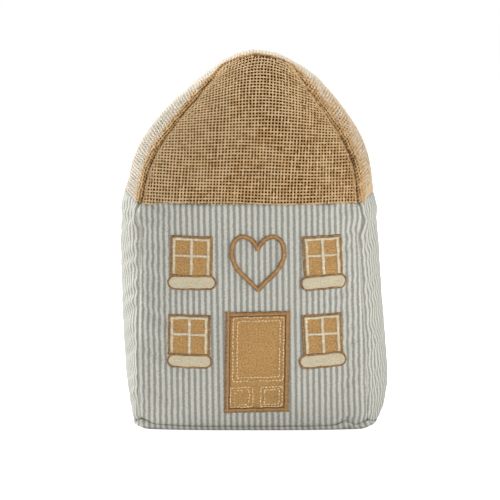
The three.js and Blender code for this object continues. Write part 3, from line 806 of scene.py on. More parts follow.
def closed_sheet(top, bottom, uvs):
    """A closed sheet between two grids of places, with a rim all round: points, faces and coordinates."""
    rows, columns = top.shape[:2]
    n = rows * columns
    number = np.arange(n).reshape(rows, columns)
    loop = np.concatenate([number[:, 0], number[-1, 1:], number[-2::-1, -1], number[0, -2:0:-1]])
    after = np.roll(loop, -1)
    rim = np.stack([loop, loop + n, after + n, after], -1)
    faces = np.concatenate([grid_faces(rows, columns), grid_faces(rows, columns, n, True), rim])
    points = np.concatenate([top.reshape(-1, 3), bottom.reshape(-1, 3)])
    return points, faces, np.concatenate([uvs.reshape(-1, 2)] * 2)


def sheet_mesh(panel, a, b, top, bottom):
    """A closed sheet over shares of a panel, between two lifts."""
    A, B = panel.grid(a, b)
    uvs = np.stack([panel.sample(field, A, B) for field in (panel.first, panel.second)], -1)
    return closed_sheet(panel.at(A, B, top)[0], panel.at(A, B, bottom)[0], uvs)


def finish(piece, slot, *nodes):
    """Lets a piece ride on the one body and stand for CAD nodes, which it hides; its slot is not used."""
    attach(piece, BODY)
    if nodes:
        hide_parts(*nodes)
    return piece


def sew(name, node, slot, kind, parts):
    """A finished piece in a material, from points, faces, cloth coordinates and perhaps tones."""
    verts, faces, *more = parts
    return finish(mesh_object(name, verts, faces, material(kind), *more), slot, node)


# Materials


class Value:
    """A socket, with the arithmetic that the cloths use: each sum adds its Math node."""

    def __init__(self, nodes, socket):
        self.nodes, self.socket = nodes, socket

    def math(self, operation, *others):
        return self.nodes.add("ShaderNodeMath", {"operation": operation}, [self, *others])

    def __add__(self, other):
        return self.math("ADD", other)

    def __sub__(self, other):
        return self.math("SUBTRACT", other)

    def __mul__(self, other):
        return self.math("MULTIPLY", other)

    __radd__ = __add__

    def wave(self, pitch):
        """A sine from -1 to 1 with a pitch in the value's own units."""
        return (self * (2 * math.pi / pitch)).math("SINE")


class Nodes:
    """A node tree being built: add() makes a node from its type, its settings and its inputs."""

    def __init__(self, owner):
        owner.use_nodes = True
        self.tree = owner.node_tree
        self.tree.nodes.clear()

    def put(self, socket, value):
        if isinstance(value, Value):
            self.tree.links.new(value.socket, socket)
        elif hasattr(value, "__len__") and socket.type == "RGBA" and len(value) == 3:
            socket.default_value = (*value, 1)
        else:
            socket.default_value = value

    def add(self, kind, settings, inputs, output=0):
        node = self.tree.nodes.new(kind)
        for key, value in settings.items():
            setattr(node, key, value)
        pairs = inputs.items() if isinstance(inputs, dict) else enumerate(inputs)
        for key, value in pairs:
            self.put(node.inputs[key], value)
        return Value(self, node.outputs[output]) if len(node.outputs) else None

    def seen_directly(self):
        """1 where the camera, or a mirror or glass in front of it, sees the surface."""
        rays = ("Is Camera Ray", "Is Glossy Ray", "Is Transmission Ray")
        seen, *more = [self.add("ShaderNodeLightPath", {}, [], ray) for ray in rays]
        for value in more:
            seen = seen.math("MAXIMUM", value)
        return seen

    def pick_seen(self, other, seen, output):
        """Ends the tree with one shader, and another where the surface is seen directly."""
        picked = self.add("ShaderNodeMixShader", {}, [self.seen_directly(), other, seen])
        self.add(output, {}, [picked])


class ClothNodes(Nodes):
    """A material being built on one Principled surface."""

    def __init__(self, name, gloss=0.25):
        self.material = bpy.data.materials.new(name)
        super().__init__(self.material)
        self.skin = self.tree.nodes.new("ShaderNodeBsdfPrincipled")
        self.skin.inputs["Specular IOR Level"].default_value = gloss
        self.add("ShaderNodeOutputMaterial", {}, [Value(self, self.skin.outputs[0])])

    def stretched(self, place, *stretch):
        """A place in millimetres, times a stretch."""
        scale = tuple(1000 * s for s in stretch)
        return self.add("ShaderNodeMapping", {}, {"Vector": place, "Scale": scale})

    def on_cloth(self, u=1, v=1):
        """The piece's own cloth coordinates."""
        return self.stretched(self.add("ShaderNodeUVMap", {"uv_map": "Cloth"}, []), u, v, 1)

    def tone(self):
        return self.add("ShaderNodeAttribute", {"attribute_name": "tone"}, [], "Fac")

    def part(self, vector, axis):
        return self.add("ShaderNodeSeparateXYZ", {}, [vector], "XYZ"[axis])

    def noise(self, place, detail, rough):
        """Noise about 0, with cells of one unit."""
        inputs = {"Vector": place, "Scale": 1.0, "Detail": detail, "Roughness": rough}
        return self.add("ShaderNodeTexNoise", {}, inputs, "Fac") - 0.5

    def grain(self, u, v, detail=2.0, rough=0.55):
        """Noise over the cloth, with so many cells to a millimetre along and across."""
        return self.noise(self.on_cloth(u, v), detail, rough)

    def cloud(self, size, detail=2.0, rough=0.55):
        """Noise through space, with so many cells to a millimetre."""
        place = self.add("ShaderNodeTexCoord", {}, [], "Object")
        return self.noise(self.stretched(place, size, size, size), detail, rough)

    def ramp(self, value, low, high):
        """0 below low, 1 above high, smooth between."""
        inputs = {"Value": value, "From Min": low, "From Max": high}
        return self.add("ShaderNodeMapRange", {"interpolation_type": "SMOOTHSTEP"}, inputs)

    def blend(self, factor, first, second):
        return self.add("ShaderNodeMix", {"data_type": "RGBA"}, {0: factor, 6: first, 7: second}, 2)

    def close(self, colour, amount, roughness, height, bump, depth, sheen=0.0, sheen_tint=(1, 1, 1)):
        """Sets the skin: a colour times an amount, and a bump of a strength and a depth."""
        times = {"Vector": colour, "Scale": amount}
        raised = {"Height": height, "Strength": bump, "Distance": depth}
        inputs = {
            "Base Color": self.add("ShaderNodeVectorMath", {"operation": "SCALE"}, times),
            "Roughness": roughness,
            "Sheen Weight": sheen,
            "Sheen Roughness": 0.5,
            "Sheen Tint": sheen_tint,
            "Normal": self.add("ShaderNodeBump", {}, raised),
        }
        for name, value in inputs.items():
            self.put(self.skin.inputs[name], value)
        return self.material


def ticking_material():
    """Ticking: soft-edged stripes on cream, with fine yarns, slubs and paler and browner threads."""
    s, t = ClothNodes("ticking"), tints()
    place = s.on_cloth()
    u, v = s.part(place, 0), s.part(place, 1)
    wander = s.grain(0.35, 0.35) * 0.4
    fray = s.grain(1.1, 0.8) * 2.1
    stripe = s.ramp((u + wander + fray).wave(cloth().stripe_pitch / MM), -0.62, 0.72)
    weft, warp = v.wave(0.46), u.wave(0.38)
    grain = s.grain(2.8, 2.8, 3.0, 0.7)
    warm = s.ramp(s.grain(0.9, 0.25), -0.12, 0.16)
    dark = s.blend(warm, tuple(t.stripe), (0.270, 0.258, 0.222))
    light = s.blend(warm, tuple(t.ground), (0.560, 0.545, 0.455))
    tone = 1 + weft * 0.05 + warp * 0.05 + grain * 0.42 + s.grain(2.4, 0.12) * 0.2
    tone = tone + s.grain(1.15, 0.95, 2.0, 0.7) * 0.85
    height = weft * warp * 0.5 + grain * 1.2
    return s.close(s.blend(stripe, light, dark), tone, 0.88, height, 0.55, 0.22 * MM, 0.12)


OWN_TONE = 0.6               # the palest tone of the jute itself; tones above it are painted light


def hessian_material():
    """Jute: each yarn has a tone, from a painted shade colour through its own colours to a painted washed-out
    light, with fibres and darker flecks.
    """
    s = ClothNodes("hessian")
    tone, fibre = s.tone(), s.grain(0.5, 4.0, 3.0, 0.65)
    # Below tone 0.4 the jute darkens towards a painted shade colour, which the yarns in the seams' creases
    # reach
    colour = s.blend(s.ramp(tone, 0.0, 0.4), (0.250, 0.130, 0.045), tuple(tints().hessian))
    # Paler jute, from the yarns' own random tones and from the front's painted side light
    colour = s.blend(s.ramp(tone, 0.35, 0.7), colour, (0.670, 0.490, 0.270))
    # A washed-out colour above the jute's own tones, reached only by painted light on the gusset
    colour = s.blend(s.ramp(tone, OWN_TONE, 0.80), colour, (0.635, 0.585, 0.495))
    colour = s.blend(s.ramp(s.cloud(1.1), 0.10, 0.22) * 0.22, colour, (0.250, 0.140, 0.055))
    amount = 1 + fibre * 0.55 + s.cloud(0.05) * 0.12
    return s.close(colour, amount, 0.85, fibre, 0.8, 0.3 * MM, 0.25, (1.0, 0.92, 0.82))


def plain_cloth_material(name, colour, twill, grain):
    """A plain or twilled cloth in one colour, with yarns, grain and clouds."""
    s = ClothNodes(name)
    place = s.on_cloth()
    ridge = (s.part(place, 0) + s.part(place, 1)).wave(0.85)
    speck, slub = s.grain(2.6, 2.6, 3.0, 0.7), s.grain(0.9, 0.9, 2.0, 0.7)
    amount = 1 + ridge * (0.24 * twill) + speck * grain + s.cloud(0.12) * 0.2 + slub * (4.6 * grain)
    return s.close(tuple(colour), amount, 0.85, ridge * twill + speck, 0.5, 0.2 * MM, 0.1)


def thread_material(name, dark, colour, pale):
    """Embroidery thread: a soft sheen, with painted shade where it dives into the cloth, a painted highlight
    on its crown, and random darker and paler threads.
    """
    s = ClothNodes(name)
    tone, speck = s.tone(), s.cloud(1.6)
    mixed = s.blend(s.ramp(tone, 0.0, 0.5), dark, tuple(colour))
    mixed = s.blend(s.ramp(tone, 0.5, 1.0), mixed, pale)
    return s.close(mixed, 1 + speck * 0.35, 0.5, speck, 0.3, 0.2 * MM, 0.2)


def fuzz_material(name, colour, roughness=0.95, gloss=0.25):
    """Loose fibre or lining: clouds and fine grain."""
    s = ClothNodes(name, gloss)
    grain = s.cloud(1.4, 3.0, 0.7)
    amount = 1 + s.cloud(0.08, 3.0) * 0.3 + grain * 0.5
    return s.close(tuple(colour), amount, roughness, grain, 0.6, 0.6 * MM)


MATERIALS = {}


def material(name):
    """Each material is made once, when a piece first asks for it."""
    t = tints()
    makers = {
        "ticking": (ticking_material,),
        "hessian": (hessian_material,),
        # The lining's near-black colour is painted shade between the yarns
        "lining": (fuzz_material, name, t.lining, 1.0, 0.0),
        "twill": (plain_cloth_material, name, t.twill, 1.0, 0.45),
        "cream_cloth": (plain_cloth_material, name, t.cream, 0.4, 0.22),
        # Each thread's dark colour carries painted shade and its pale one a painted highlight, besides random
        # darker and paler threads
        "thread": (thread_material, name, (0.135, 0.068, 0.022), t.thread, (0.530, 0.320, 0.125)),
        "cream_thread": (thread_material, name, (0.400, 0.330, 0.205), t.cream, (0.680, 0.620, 0.470)),
        "door_thread": (thread_material, name, (0.420, 0.300, 0.150), t.door_thread, (0.850, 0.700, 0.440)),
        "fibre": (fuzz_material, name, t.fibre),
        "calico": (fuzz_material, name, t.calico),
    }
    if name not in MATERIALS:
        maker, *values = makers[name]
        MATERIALS[name] = maker(*values)
    return MATERIALS[name]


# Hessian as real yarns

YARN_SIDES = 5
YARN_STEPS = 3               # rings to each crossing
MEAN_TONE = 0.47


def smooth_rows(values):
    """Softens each row by a weighted moving sum of five."""
    kernel = np.array([1, 2, 3, 2, 1]) / 5
    return np.apply_along_axis(lambda row: np.convolve(row, kernel, mode="same"), 1, values)


YARN_DEPTH = 0.45 * MM       # how far the weave's middle lies under the panel's face
YARN_SWING = 0.48            # how far a yarn goes up and down, in its thickness


def woven_yarns(panel, seed, other_way, gaps):
    """One set of yarns of a plain weave, as flattened tubes that pass over and under the other set.

    A yarn's middle line lies at a whole number of pitches in one cloth coordinate, wavering a little,
    and its height is a cosine of the other, with the sign changing from yarn to yarn. Each tube stops
    at its gaps from the panel's four seams."""
    c = cloth()
    draw = np.random.default_rng(seed)
    pitch, along_pitch = (c.weft_pitch, c.warp_pitch) if other_way else (c.warp_pitch, c.weft_pitch)
    lines, run = (panel.second, panel.first) if other_way else (panel.first, panel.second)
    step = along_pitch / YARN_STEPS
    k = np.arange(math.ceil(lines.min() / pitch), math.floor(lines.max() / pitch) + 1)
    j = np.arange(math.ceil(run.min() / step), math.floor(run.max() / step) + 1)
    K, J = np.meshgrid(k, j, indexing="ij")
    where = J * step
    each = lambda spread: spread * draw.normal(0, 1, len(k))[:, None]        # one draw for each yarn
    line = K * pitch + each(0.016) * pitch
    line = line + 0.02 * pitch * np.sin(J * 0.11 + draw.uniform(0, 6.3, len(k))[:, None])
    line = line + 0.01 * pitch * smooth_rows(draw.normal(0, 1, K.shape))
    line = line + 0.5 * MM * np.sin(where / (13 * MM) + K * 0.13) * np.sin(K * 0.21 + seed)
    want = (where, line) if other_way else (line, where)
    free_a, free_b = panel.find(panel.first, panel.second, *want)
    inside = (np.abs(free_a - 0.5) <= 0.5) & (np.abs(free_b - 0.5) <= 0.5)
    opened = clamp(np.maximum(panel.shut[0] - free_a, free_a - panel.shut[1]) / 0.02)
    a, b = clamp(free_a), clamp(free_b)
    edges = [panel.sample(distance, a, b) for distance in panel.edges()]
    for edge, (distance, gap) in enumerate(zip(edges, gaps)):
        inside &= distance >= gap * MM * (opened if edge > 1 else 1)
    sign = np.where(K % 2 == 0, 1, -1) * (-1 if other_way else 1)
    over = sign * np.cos(np.pi * where / along_pitch)
    slub_draw = np.repeat(draw.normal(0, 1, (len(k), len(j) // 5 + 2)), 5, axis=1)[:, :len(j)]
    slub = 1 + each(0.03) + 0.06 * smooth_rows(slub_draw)
    if panel.bleach == 0:
        slub = slub * mix(1.0, 0.84, b ** 2)
    centre, out = panel.at(a, b, -YARN_DEPTH + YARN_SWING * c.yarn_thickness * over)
    side = np.cross(out, unit(np.gradient(centre, axis=1)))
    turn = 2 * np.pi * (np.arange(YARN_SIDES) + 0.5) / YARN_SIDES
    wide = (slub * c.yarn_width / 2)[..., None, None] * np.cos(turn)[:, None] * side[..., None, :]
    thick = (slub * c.yarn_thickness / 2)[..., None, None] * np.sin(turn)[:, None] * out[..., None, :]
    verts = (centre[..., None, :] + wide + thick).reshape(-1, 3)
    number = np.arange(K.size * YARN_SIDES).reshape(len(k), len(j), YARN_SIDES)
    both = inside[:, :-1] & inside[:, 1:]
    begins, ends = inside.copy(), inside.copy()
    begins[:, 1:] &= ~inside[:, :-1]
    ends[:, :-1] &= ~inside[:, 1:]
    lone = begins & ends
    faces = [tube_faces(number[:, :-1][both], number[:, 1:][both])]
    faces += [number[begins & ~lone][:, ::-1], number[ends & ~lone]]
    tone = MEAN_TONE + each(0.05) + 0.07 * smooth_rows(slub_draw)
    tone = yarn_tones(panel, tone, np.minimum(*edges[panel.worn:panel.worn + 2]), free_a, b, over)
    uv = np.stack([where + 0 * line, line], -1)[..., None, :]
    uv = uv + np.stack([0 * turn, np.cos(turn) * c.yarn_width / 2], -1)
    return verts, faces, uv.reshape(-1, 2), np.repeat(tone.reshape(-1), YARN_SIDES)


def yarn_tones(panel, tone, near, a, b, over):
    """Tones of the yarns: painted shade beside their shaded seams, painted light at one side and the top,
    and on the gusset painted shade beside its seams and under crossings, and painted light further in.

    Up to a limit a tone is the yarn's own, and above that it is painted light."""
    # Painted shade: yarns darker in the seams' creases, and on the gusset darker still beside its seams
    tone = tone - 0.35 * np.exp(-near / (2.2 * MM)) - 0.4 * panel.bleach * np.exp(-near / (5 * MM))
    # Painted light: the front's yarns paler at its left and its top; painted shade on the gusset where a yarn
    # dives under
    tone = tone + panel.fade * (clamp(1 - a / 0.4) + b ** 2) + 0.15 * panel.bleach * np.minimum(over, 0)
    # Painted light: the gusset's yarns washed out away from its seams, most on the left
    pale = panel.bleach * mix(1.0, 0.35, clamp(2 * a - 0.5)) * clamp((near - 5 * MM) / (11 * MM))
    return np.clip(tone, 0, OWN_TONE) + np.clip(pale, 0, 0.5)


def join(parts):
    """Joins meshes given as points, face arrays, cloth coordinates and tones."""
    start, verts, faces, uvs, tones = 0, [], [], [], []
    for points, rows, uv, tone in parts:
        verts.append(points)
        uvs.append(uv)
        tones.append(tone)
        faces.extend(row + start for row in (rows if isinstance(rows, list) else [rows]))
        start += len(points)
    return np.concatenate(verts), faces, np.concatenate(uvs), np.concatenate(tones)


def trimmed(verts, faces, uvs, tones):
    """Drops points that no face uses."""
    used = np.unique(np.concatenate([row.reshape(-1) for row in faces]))
    number = np.zeros(len(verts), int)
    number[used] = np.arange(len(used))
    return verts[used], [number[row] for row in faces if len(row)], uvs[used], tones[used]


# How far the upright and the level yarns stop short of each panel's four seams, in millimetres
# The dark lining shows in these gaps as a painted shade line along the seams
SEAM_GAPS = {
    "front_roof": ((1.2, 1.2, 0, 0.3), (1.2, 1.2, 0, 0.4)),
    "back_roof": ((1.2, 1.2, 0, 0.3), (1.2, 1.2, 0, 0.4)),
    "roof_strip": ((0, 0, 0.7, 0.7), (0, 0, 1.4, 1.4)),
}
UNDER_SEAM = 0.014           # how far the dark linings of the front and back reach under their side seams
HEM = 0.006                  # how far the front and back ticking reach over the eaves


class DOORSTOP_OT_roof(bpy.types.Operator):
    """Weaves the hessian roof from jute yarns, over a dark lining whose colour paints the shade between them
    """

    bl_idname = "doorstop.roof"
    bl_label = "Hessian roof"

    def execute(self, context):
        for seed, name in enumerate(SEAM_GAPS):
            panel = PANELS[name]
            for way, gaps in enumerate(SEAM_GAPS[name]):
                yarns = trimmed(*woven_yarns(panel, 100 + 10 * seed + way, way, gaps))
                sew(f"{name}_{'weft' if way else 'warp'}", name, "hessian", "hessian", yarns)
            a, b = panel.cut(4 * MM)
            if panel.bleach == 0:
                a = mix(-UNDER_SEAM, 1 + UNDER_SEAM, a)
            # The lining's near-black colour is painted shade, seen between the yarns and in the gaps at the
            # seams
            lining = sheet_mesh(panel, a, b, -1.25 * MM, -1.7 * MM)
            sew(f"{name}_lining", name, "hessian", "lining", lining)
        return {"FINISHED"}


class DOORSTOP_OT_walls(bpy.types.Operator):
    """Makes the four ticking walls and the base panel"""

    bl_idname = "doorstop.walls"
    bl_label = "Ticking walls"

    def execute(self, context):
        for name in ("front_wall", "back_wall", "left_wall", "right_wall", "base"):
            facing = name in ("front_wall", "back_wall")
            a, b = PANELS[name].cut(2 * MM)
            if facing:
                b = b + HEM * b
            verts, faces, uvs = sheet_mesh(PANELS[name], a, b, 0, -cloth().cloth_thickness)
            parts = verts, faces, uvs if facing else uvs[:, ::-1]
            node = "base_panel" if name == "base" else name
            sew(f"{name}_ticking", node, "ticking", "ticking", parts)
        return {"FINISHED"}


# Patches and stitching, on places across and up the front wall

CLOTH_LIFT = 0.15 * MM
PATCH_THICK = 0.55 * MM
SATIN_PITCH = 0.75 * MM
RINGS = 3                    # rings to each thread of satin
# Painted shade at both edges of a satin band and a faint painted highlight on its crown
EVEN_PAINTED_SHADES = (-0.5, -0.3, 0.0, 0.1, 0.0, -0.3, -0.5)


def on_front(flat, lift):
    """Places at a lift over the front wall.

    Everything sewn on wavers by the same tenth of a millimetre, as cut and sewn by hand."""
    panel = PANELS["front_wall"]
    x, z = flat[..., 0], flat[..., 1]
    wavy_x = x + 0.1 * MM * np.sin(z / (1.3 * MM) + x / (9 * MM))
    wavy_z = z + 0.12 * MM * np.sin(x / (1.7 * MM) + z / (7 * MM))
    return panel.at(*panel.find(panel.places[..., 0], panel.places[..., 2], wavy_x, wavy_z), lift)[0]


def patch_mesh(outline, thick, rows, columns):
    """A closed cloth patch, whose outline gives places by shares across and up."""
    flat = outline(*Panel.grid(np.linspace(0, 1, columns), np.linspace(0, 1, rows)))
    return closed_sheet(on_front(flat, CLOTH_LIFT + thick), on_front(flat, CLOTH_LIFT), flat)


def even_path(points, step, closed):
    """A path's points moved to even steps of about one size."""
    line = np.concatenate([points, points[:1]]) if closed else points
    far = np.concatenate([[0], np.cumsum(np.linalg.norm(np.diff(line, axis=0), axis=1))])
    count = max(3, int(round(far[-1] / step)))
    at = np.linspace(0, far[-1], count + 1)[:count if closed else None]
    return np.stack([np.interp(at, far, column) for column in line.T], -1)


def satin_mesh(points, width, lift, closed, seed, tone, spread, crown=0.75 * MM, painted_shades=EVEN_PAINTED_SHADES):
    """Satin stitch along a path: a crowned band with a rib for each thread, its tones changing by thread.

    Across the band the height is a half ellipse, and the painted shades, from the path's right to its left,
    add painted shade at its edges, where the thread dives into the cloth, and a painted highlight on its
    crown. Along it each thread is narrow, full and narrow again."""
    draw = np.random.default_rng(seed)
    path = even_path(points, SATIN_PITCH / RINGS, closed)
    n, around = len(path), len(painted_shades) + 2
    ahead = unit(np.roll(path, -1, 0) - np.roll(path, 1, 0) if closed else np.gradient(path, axis=0))
    side = np.stack([ahead[:, 1], -ahead[:, 0]], -1)
    over = np.linspace(1, -1, around - 2)
    across = np.concatenate([over, [-0.5, 0.5]])
    up = np.concatenate([0.35 + 0.65 * np.sqrt(1 - over ** 2), [0, 0]])
    thread, ring = np.divmod(np.arange(n), RINGS)
    ragged = draw.normal(0, 0.03 + 0.4 * spread, n // RINGS + 2)[thread]
    half = width / 2 * (1.0 + ragged) * np.array([0.88, 1.0, 0.96])[ring]
    flat = path[:, None, :] + side[:, None, :] * (across[None, :, None] * half[:, None, None])
    rib = np.array([0.66, 1.0, 0.84])[ring][:, None]
    verts = on_front(flat, lift + crown * up[None, :] * np.where(up[None, :] > 0.4, rib, 1))
    number = np.arange(n * around).reshape(n, around)
    i = np.arange(n if closed else n - 1)
    faces = [tube_faces(number[i], number[(i + 1) % n])[:, ::-1]]
    if not closed:
        faces += [number[:1], number[-1:, ::-1]]
    # Painted shade and highlight across the band, deeper on some threads than others, over each thread's
    # random tone
    rim = np.array([*painted_shades, painted_shades[-1], painted_shades[0]])
    deep = draw.uniform(0.4, 1.8, n // RINGS + 2)[thread][:, None]
    tones = np.clip(draw.normal(tone, spread, n // RINGS + 2)[thread][:, None] + rim * deep, 0, 1)
    return verts.reshape(-1, 3), faces, flat.reshape(-1, 2), tones.reshape(-1)


def dash_mesh(points, pitch, dash, thick, lift, seed):
    """A closed row of running stitch: short rounded threads that dive into the cloth at both ends.

    A dash's height is a half sine along it, and its section is a flattened ring."""
    draw = np.random.default_rng(seed)
    starts = even_path(points, pitch, True)
    ahead = np.roll(starts, -1, 0) - starts
    keep = np.linalg.norm(ahead, axis=1) > 0.5 * pitch
    starts, ahead = starts[keep], unit(ahead[keep])
    starts = starts + draw.normal(0, 0.04 * pitch, starts.shape)
    reach, sides = 6, 5
    t = np.linspace(0, 1, reach)
    angle = 2 * np.pi * np.arange(sides) / sides
    full = np.sin(np.pi * mix(0.12, 0.88, t))[:, None] ** 0.5
    long = starts[:, None, :] + ahead[:, None, :] * (t * dash)[None, :, None]
    side = np.stack([ahead[:, 1], -ahead[:, 0]], -1)[:, None, None, :]
    flat = long[:, :, None, :] + side * (thick / 2 * full * np.cos(angle))[None, :, :, None]
    verts = on_front(flat, lift + thick * 0.45 * (full + 0.8 * np.sin(angle) * full))
    number = np.arange(len(starts) * reach * sides).reshape(-1, reach, sides)
    faces = [tube_faces(number[:, :-1], number[:, 1:])[:, ::-1], number[:, 0], number[:, -1, ::-1]]
    tone = np.clip(draw.normal(0.5, 0.25, len(starts)), 0, 1)
    return verts.reshape(-1, 3), faces, flat.reshape(-1, 2), np.repeat(tone, reach * sides)


def oblong(width, height, end=0.0):
    """An oblong by shares across and up, its ends drawn in to quarter rounds."""
    def outline(across, up):
        x = (across - 0.5) * width
        beyond = clamp((np.abs(x) - width / 2 + end) / end) if end else 0 * x
        z = (up - 0.5) * height * np.sqrt(1 - 0.97 * beyond ** 2)
        return np.stack([x, z], -1)
    return outline


def rim_of(outline, count=96):
    """The way round an outline's edge, anticlockwise."""
    t = np.linspace(0, 1, count, endpoint=False)
    sides = ((t, 0 * t), (0 * t + 1, t), (1 - t, 0 * t + 1), (0 * t, 1 - t))
    return np.concatenate([outline(*side) for side in sides])


def turned(place, points):
    """Points turned about the origin and set down at a place: across, up and degrees."""
    x, z, turn = place
    c, s = math.cos(math.radians(turn)), math.sin(math.radians(turn))
    return points @ np.array([[c, s], [-s, c]]) + np.array([x, z]) * MM


BORDER = 1.25 * MM


def inside_border(size):
    return [side * MM - 2 * BORDER for side in size]


def edged_patch(node, place, size, slot, kind, grid, seed, tone, end=0.0, extra=0.0, lift=0.0):
    """A patch of cloth in a satin edge, its ends rounded by a share of its height."""
    w, h = inside_border(size)
    shape = oblong(w, h, end * h)
    patch = patch_mesh(lambda a, b: turned(place, shape(a, b)), PATCH_THICK + extra, *grid)
    sew(f"{node}_cloth", node, slot, kind, patch)
    line = turned(place, rim_of(oblong(w + BORDER, h + BORDER, end and end * h + BORDER / 2)))
    edge = satin_mesh(line, BORDER * 1.15, CLOTH_LIFT + lift, True, seed, tone, 0.17)
    sew(f"{node}_edge", f"{node}_border", "stitch", "thread", edge)


# Each window: its node's first words; the pane's middle across and up and its turn in degrees, and its
# width and height over its border; and the same of the sill
WINDOWS = (
    ("upper_left", (-42.6, 122.0, -1.2), (28.8, 27.8), (-42.2, 104.1, 0.6), (33.2, 10.2)),
    ("upper_right", (46.2, 122.2, 3.0), (26.8, 27.8), (47.0, 104.3, 4.2), (31.6, 10.2)),
    ("lower_left", (-44.2, 68.2, -0.9), (28.8, 28.0), (-43.9, 50.3, -0.6), (31.0, 9.8)),
    ("lower_right", (46.3, 68.6, 2.8), (27.2, 28.0), (46.6, 50.7, 3.8), (32.6, 10.2)),
)


class DOORSTOP_OT_windows(bpy.types.Operator):
    """Sews on the four windows with their frames and sills"""

    bl_idname = "doorstop.windows"
    bl_label = "Windows"

    def execute(self, context):
        for seed, (name, place, size, sill_place, sill_size) in enumerate(WINDOWS):
            edged_patch(f"{name}_pane", place, size, "twill", "twill", (14, 14), 200 + seed, 0.36)
            self.frame(name, place, size, 300 + 10 * seed)
            edged_patch(
                f"{name}_sill", sill_place, sill_size, "cream", "cream_cloth", (9, 40), 400 + seed, 0.3,
                end=0.5, extra=0.25 * MM, lift=0.1 * MM,
            )
        return {"FINISHED"}

    def frame(self, name, place, size, seed):
        """The cream frame: two sides and a head inside the pane's edge, with two bars that cross."""
        w, h = inside_border(size)
        band, bar, thin, inset = 2.1 * MM, 2.4 * MM, 1.9 * MM, 0.6 * MM
        left, right = -w / 2 + band / 2 + inset, w / 2 - band / 2 - inset
        top, foot, middle = h / 2 - thin / 2 - 0.3 * MM, -h / 2 + 0.2 * MM, 0.3 * MM
        lines = (
            ((left, foot), (left, top), band),
            ((right, foot), (right, top), band),
            ((0.4 * MM, foot), (0.2 * MM, top), bar),
            ((left, middle), (right, middle), thin),
            ((left - band / 2, top), (right + band / 2, top), thin),
        )
        lift = CLOTH_LIFT + PATCH_THICK
        parts = [
            satin_mesh(turned(place, np.array(ends)), width, lift, False, seed + i, 0.6, 0.15, 0.5 * MM)
            for i, (*ends, width) in enumerate(lines)
        ]
        sew(f"{name}_frame_stitch", f"{name}_frame", "cream", "cream_thread", join(parts))


# The door's middle, size and border, and its double rows of running stitch: low and high corners of
# each ring, from the door's middle
DOOR_MIDDLE = np.array([2.1 * MM, 49.8 * MM])
DOOR_SIZE = (37.0 * MM, 62.8 * MM)
DOOR_BORDER = 3.5 * MM
# The door border's painted shade at both edges, and a painted highlight along its inner side
DOOR_PAINTED_SHADES = (-0.45, -0.2, -0.1, -0.05, 0.25, -0.4, -0.5)
DOOR_RINGS = (
    ((-16.6, -12.6), (17.6, 30.8)),
    ((-13.6, -10.2), (15.1, 28.4)),
    ((-17.8, -30.6), (-2.6, -17.0)),
    ((-14.9, -29.0), (-5.2, -18.7)),
    ((2.8, -30.6), (17.4, -17.0)),
    ((5.4, -29.0), (15.2, -18.7)),
)


def on_door(points):
    """Points of the door, with its slight lean: its sides lean and its head rises to the right."""
    return points + np.stack([0.014 * points[..., 1], 0.022 * points[..., 0]], -1) + DOOR_MIDDLE


class DOORSTOP_OT_door(bpy.types.Operator):
    """Sews on the door, with its satin edge and its panels in running stitch"""

    bl_idname = "doorstop.door"
    bl_label = "Door"

    def execute(self, context):
        shape = oblong(*DOOR_SIZE)
        door = patch_mesh(lambda a, b: on_door(shape(a, b)), PATCH_THICK, 42, 26)
        sew("door_cloth", "door", "twill", "twill", door)
        half = DOOR_BORDER / 2
        w, h = (side / 2 + half for side in DOOR_SIZE)
        sides = (
            ((-w - half, -h), (w + half, -h)),
            ((w, -h - half), (w, h + half)),
            ((w + half, h), (-w - half, h)),
            ((-w, h + half), (-w, -h - half)),
        )
        parts = []
        for i, ends in enumerate(sides):
            line, lift = on_door(np.array(ends)), CLOTH_LIFT + (i % 2) * 0.12 * MM
            look = (0.46, 0.07, 1.1 * MM, DOOR_PAINTED_SHADES)
            parts.append(satin_mesh(line, DOOR_BORDER * 1.02, lift, False, 500 + i, *look))
        sew("door_edge", "door_border", "stitch", "thread", join(parts))
        parts = []
        for i, (low, high) in enumerate(np.array(DOOR_RINGS)):
            ring = on_door(rim_of(oblong(*(high - low) * MM)) + (high + low) / 2 * MM)
            parts.append(dash_mesh(ring, 2.25 * MM, 1.55 * MM, 0.8 * MM, CLOTH_LIFT + PATCH_THICK, 510 + i))
        sew("door_stitching", "door", "cream", "door_thread", join(parts))
        return {"FINISHED"}


def heart_line(w, h):
    """A heart's edge, from half its width and its height: on each side a lobe and a flank."""
    t = np.linspace(0, 1, 40, endpoint=False)
    lobe = bezier(t, [(0, 0.25 * h), (0.20 * w, 0.56 * h), (w, 0.60 * h), (w, 0.2 * h)])
    flank = bezier(t, [(w, 0.2 * h), (w, -0.10 * h), (0.46 * w, -0.26 * h), (0, -0.5 * h)])
    right = np.concatenate([lobe, flank, [[0, -0.5 * h]]])
    left = right[-2:0:-1] * np.array([-1, 1])
    return np.concatenate([right, left])[::-1]


class DOORSTOP_OT_heart(bpy.types.Operator):
    """Stitches the heart between the upper windows"""

    bl_idname = "doorstop.heart"
    bl_label = "Heart"

    def execute(self, context):
        line = heart_line(35.4 * MM / 2, 36.4 * MM) + np.array([2.5 * MM, 117.6 * MM])
        heart = satin_mesh(line, 3.5 * MM, CLOTH_LIFT, True, 600, 0.55, 0.08, 1.3 * MM)
        sew("heart_stitch", "heart", "stitch", "thread", heart)
        return {"FINISHED"}


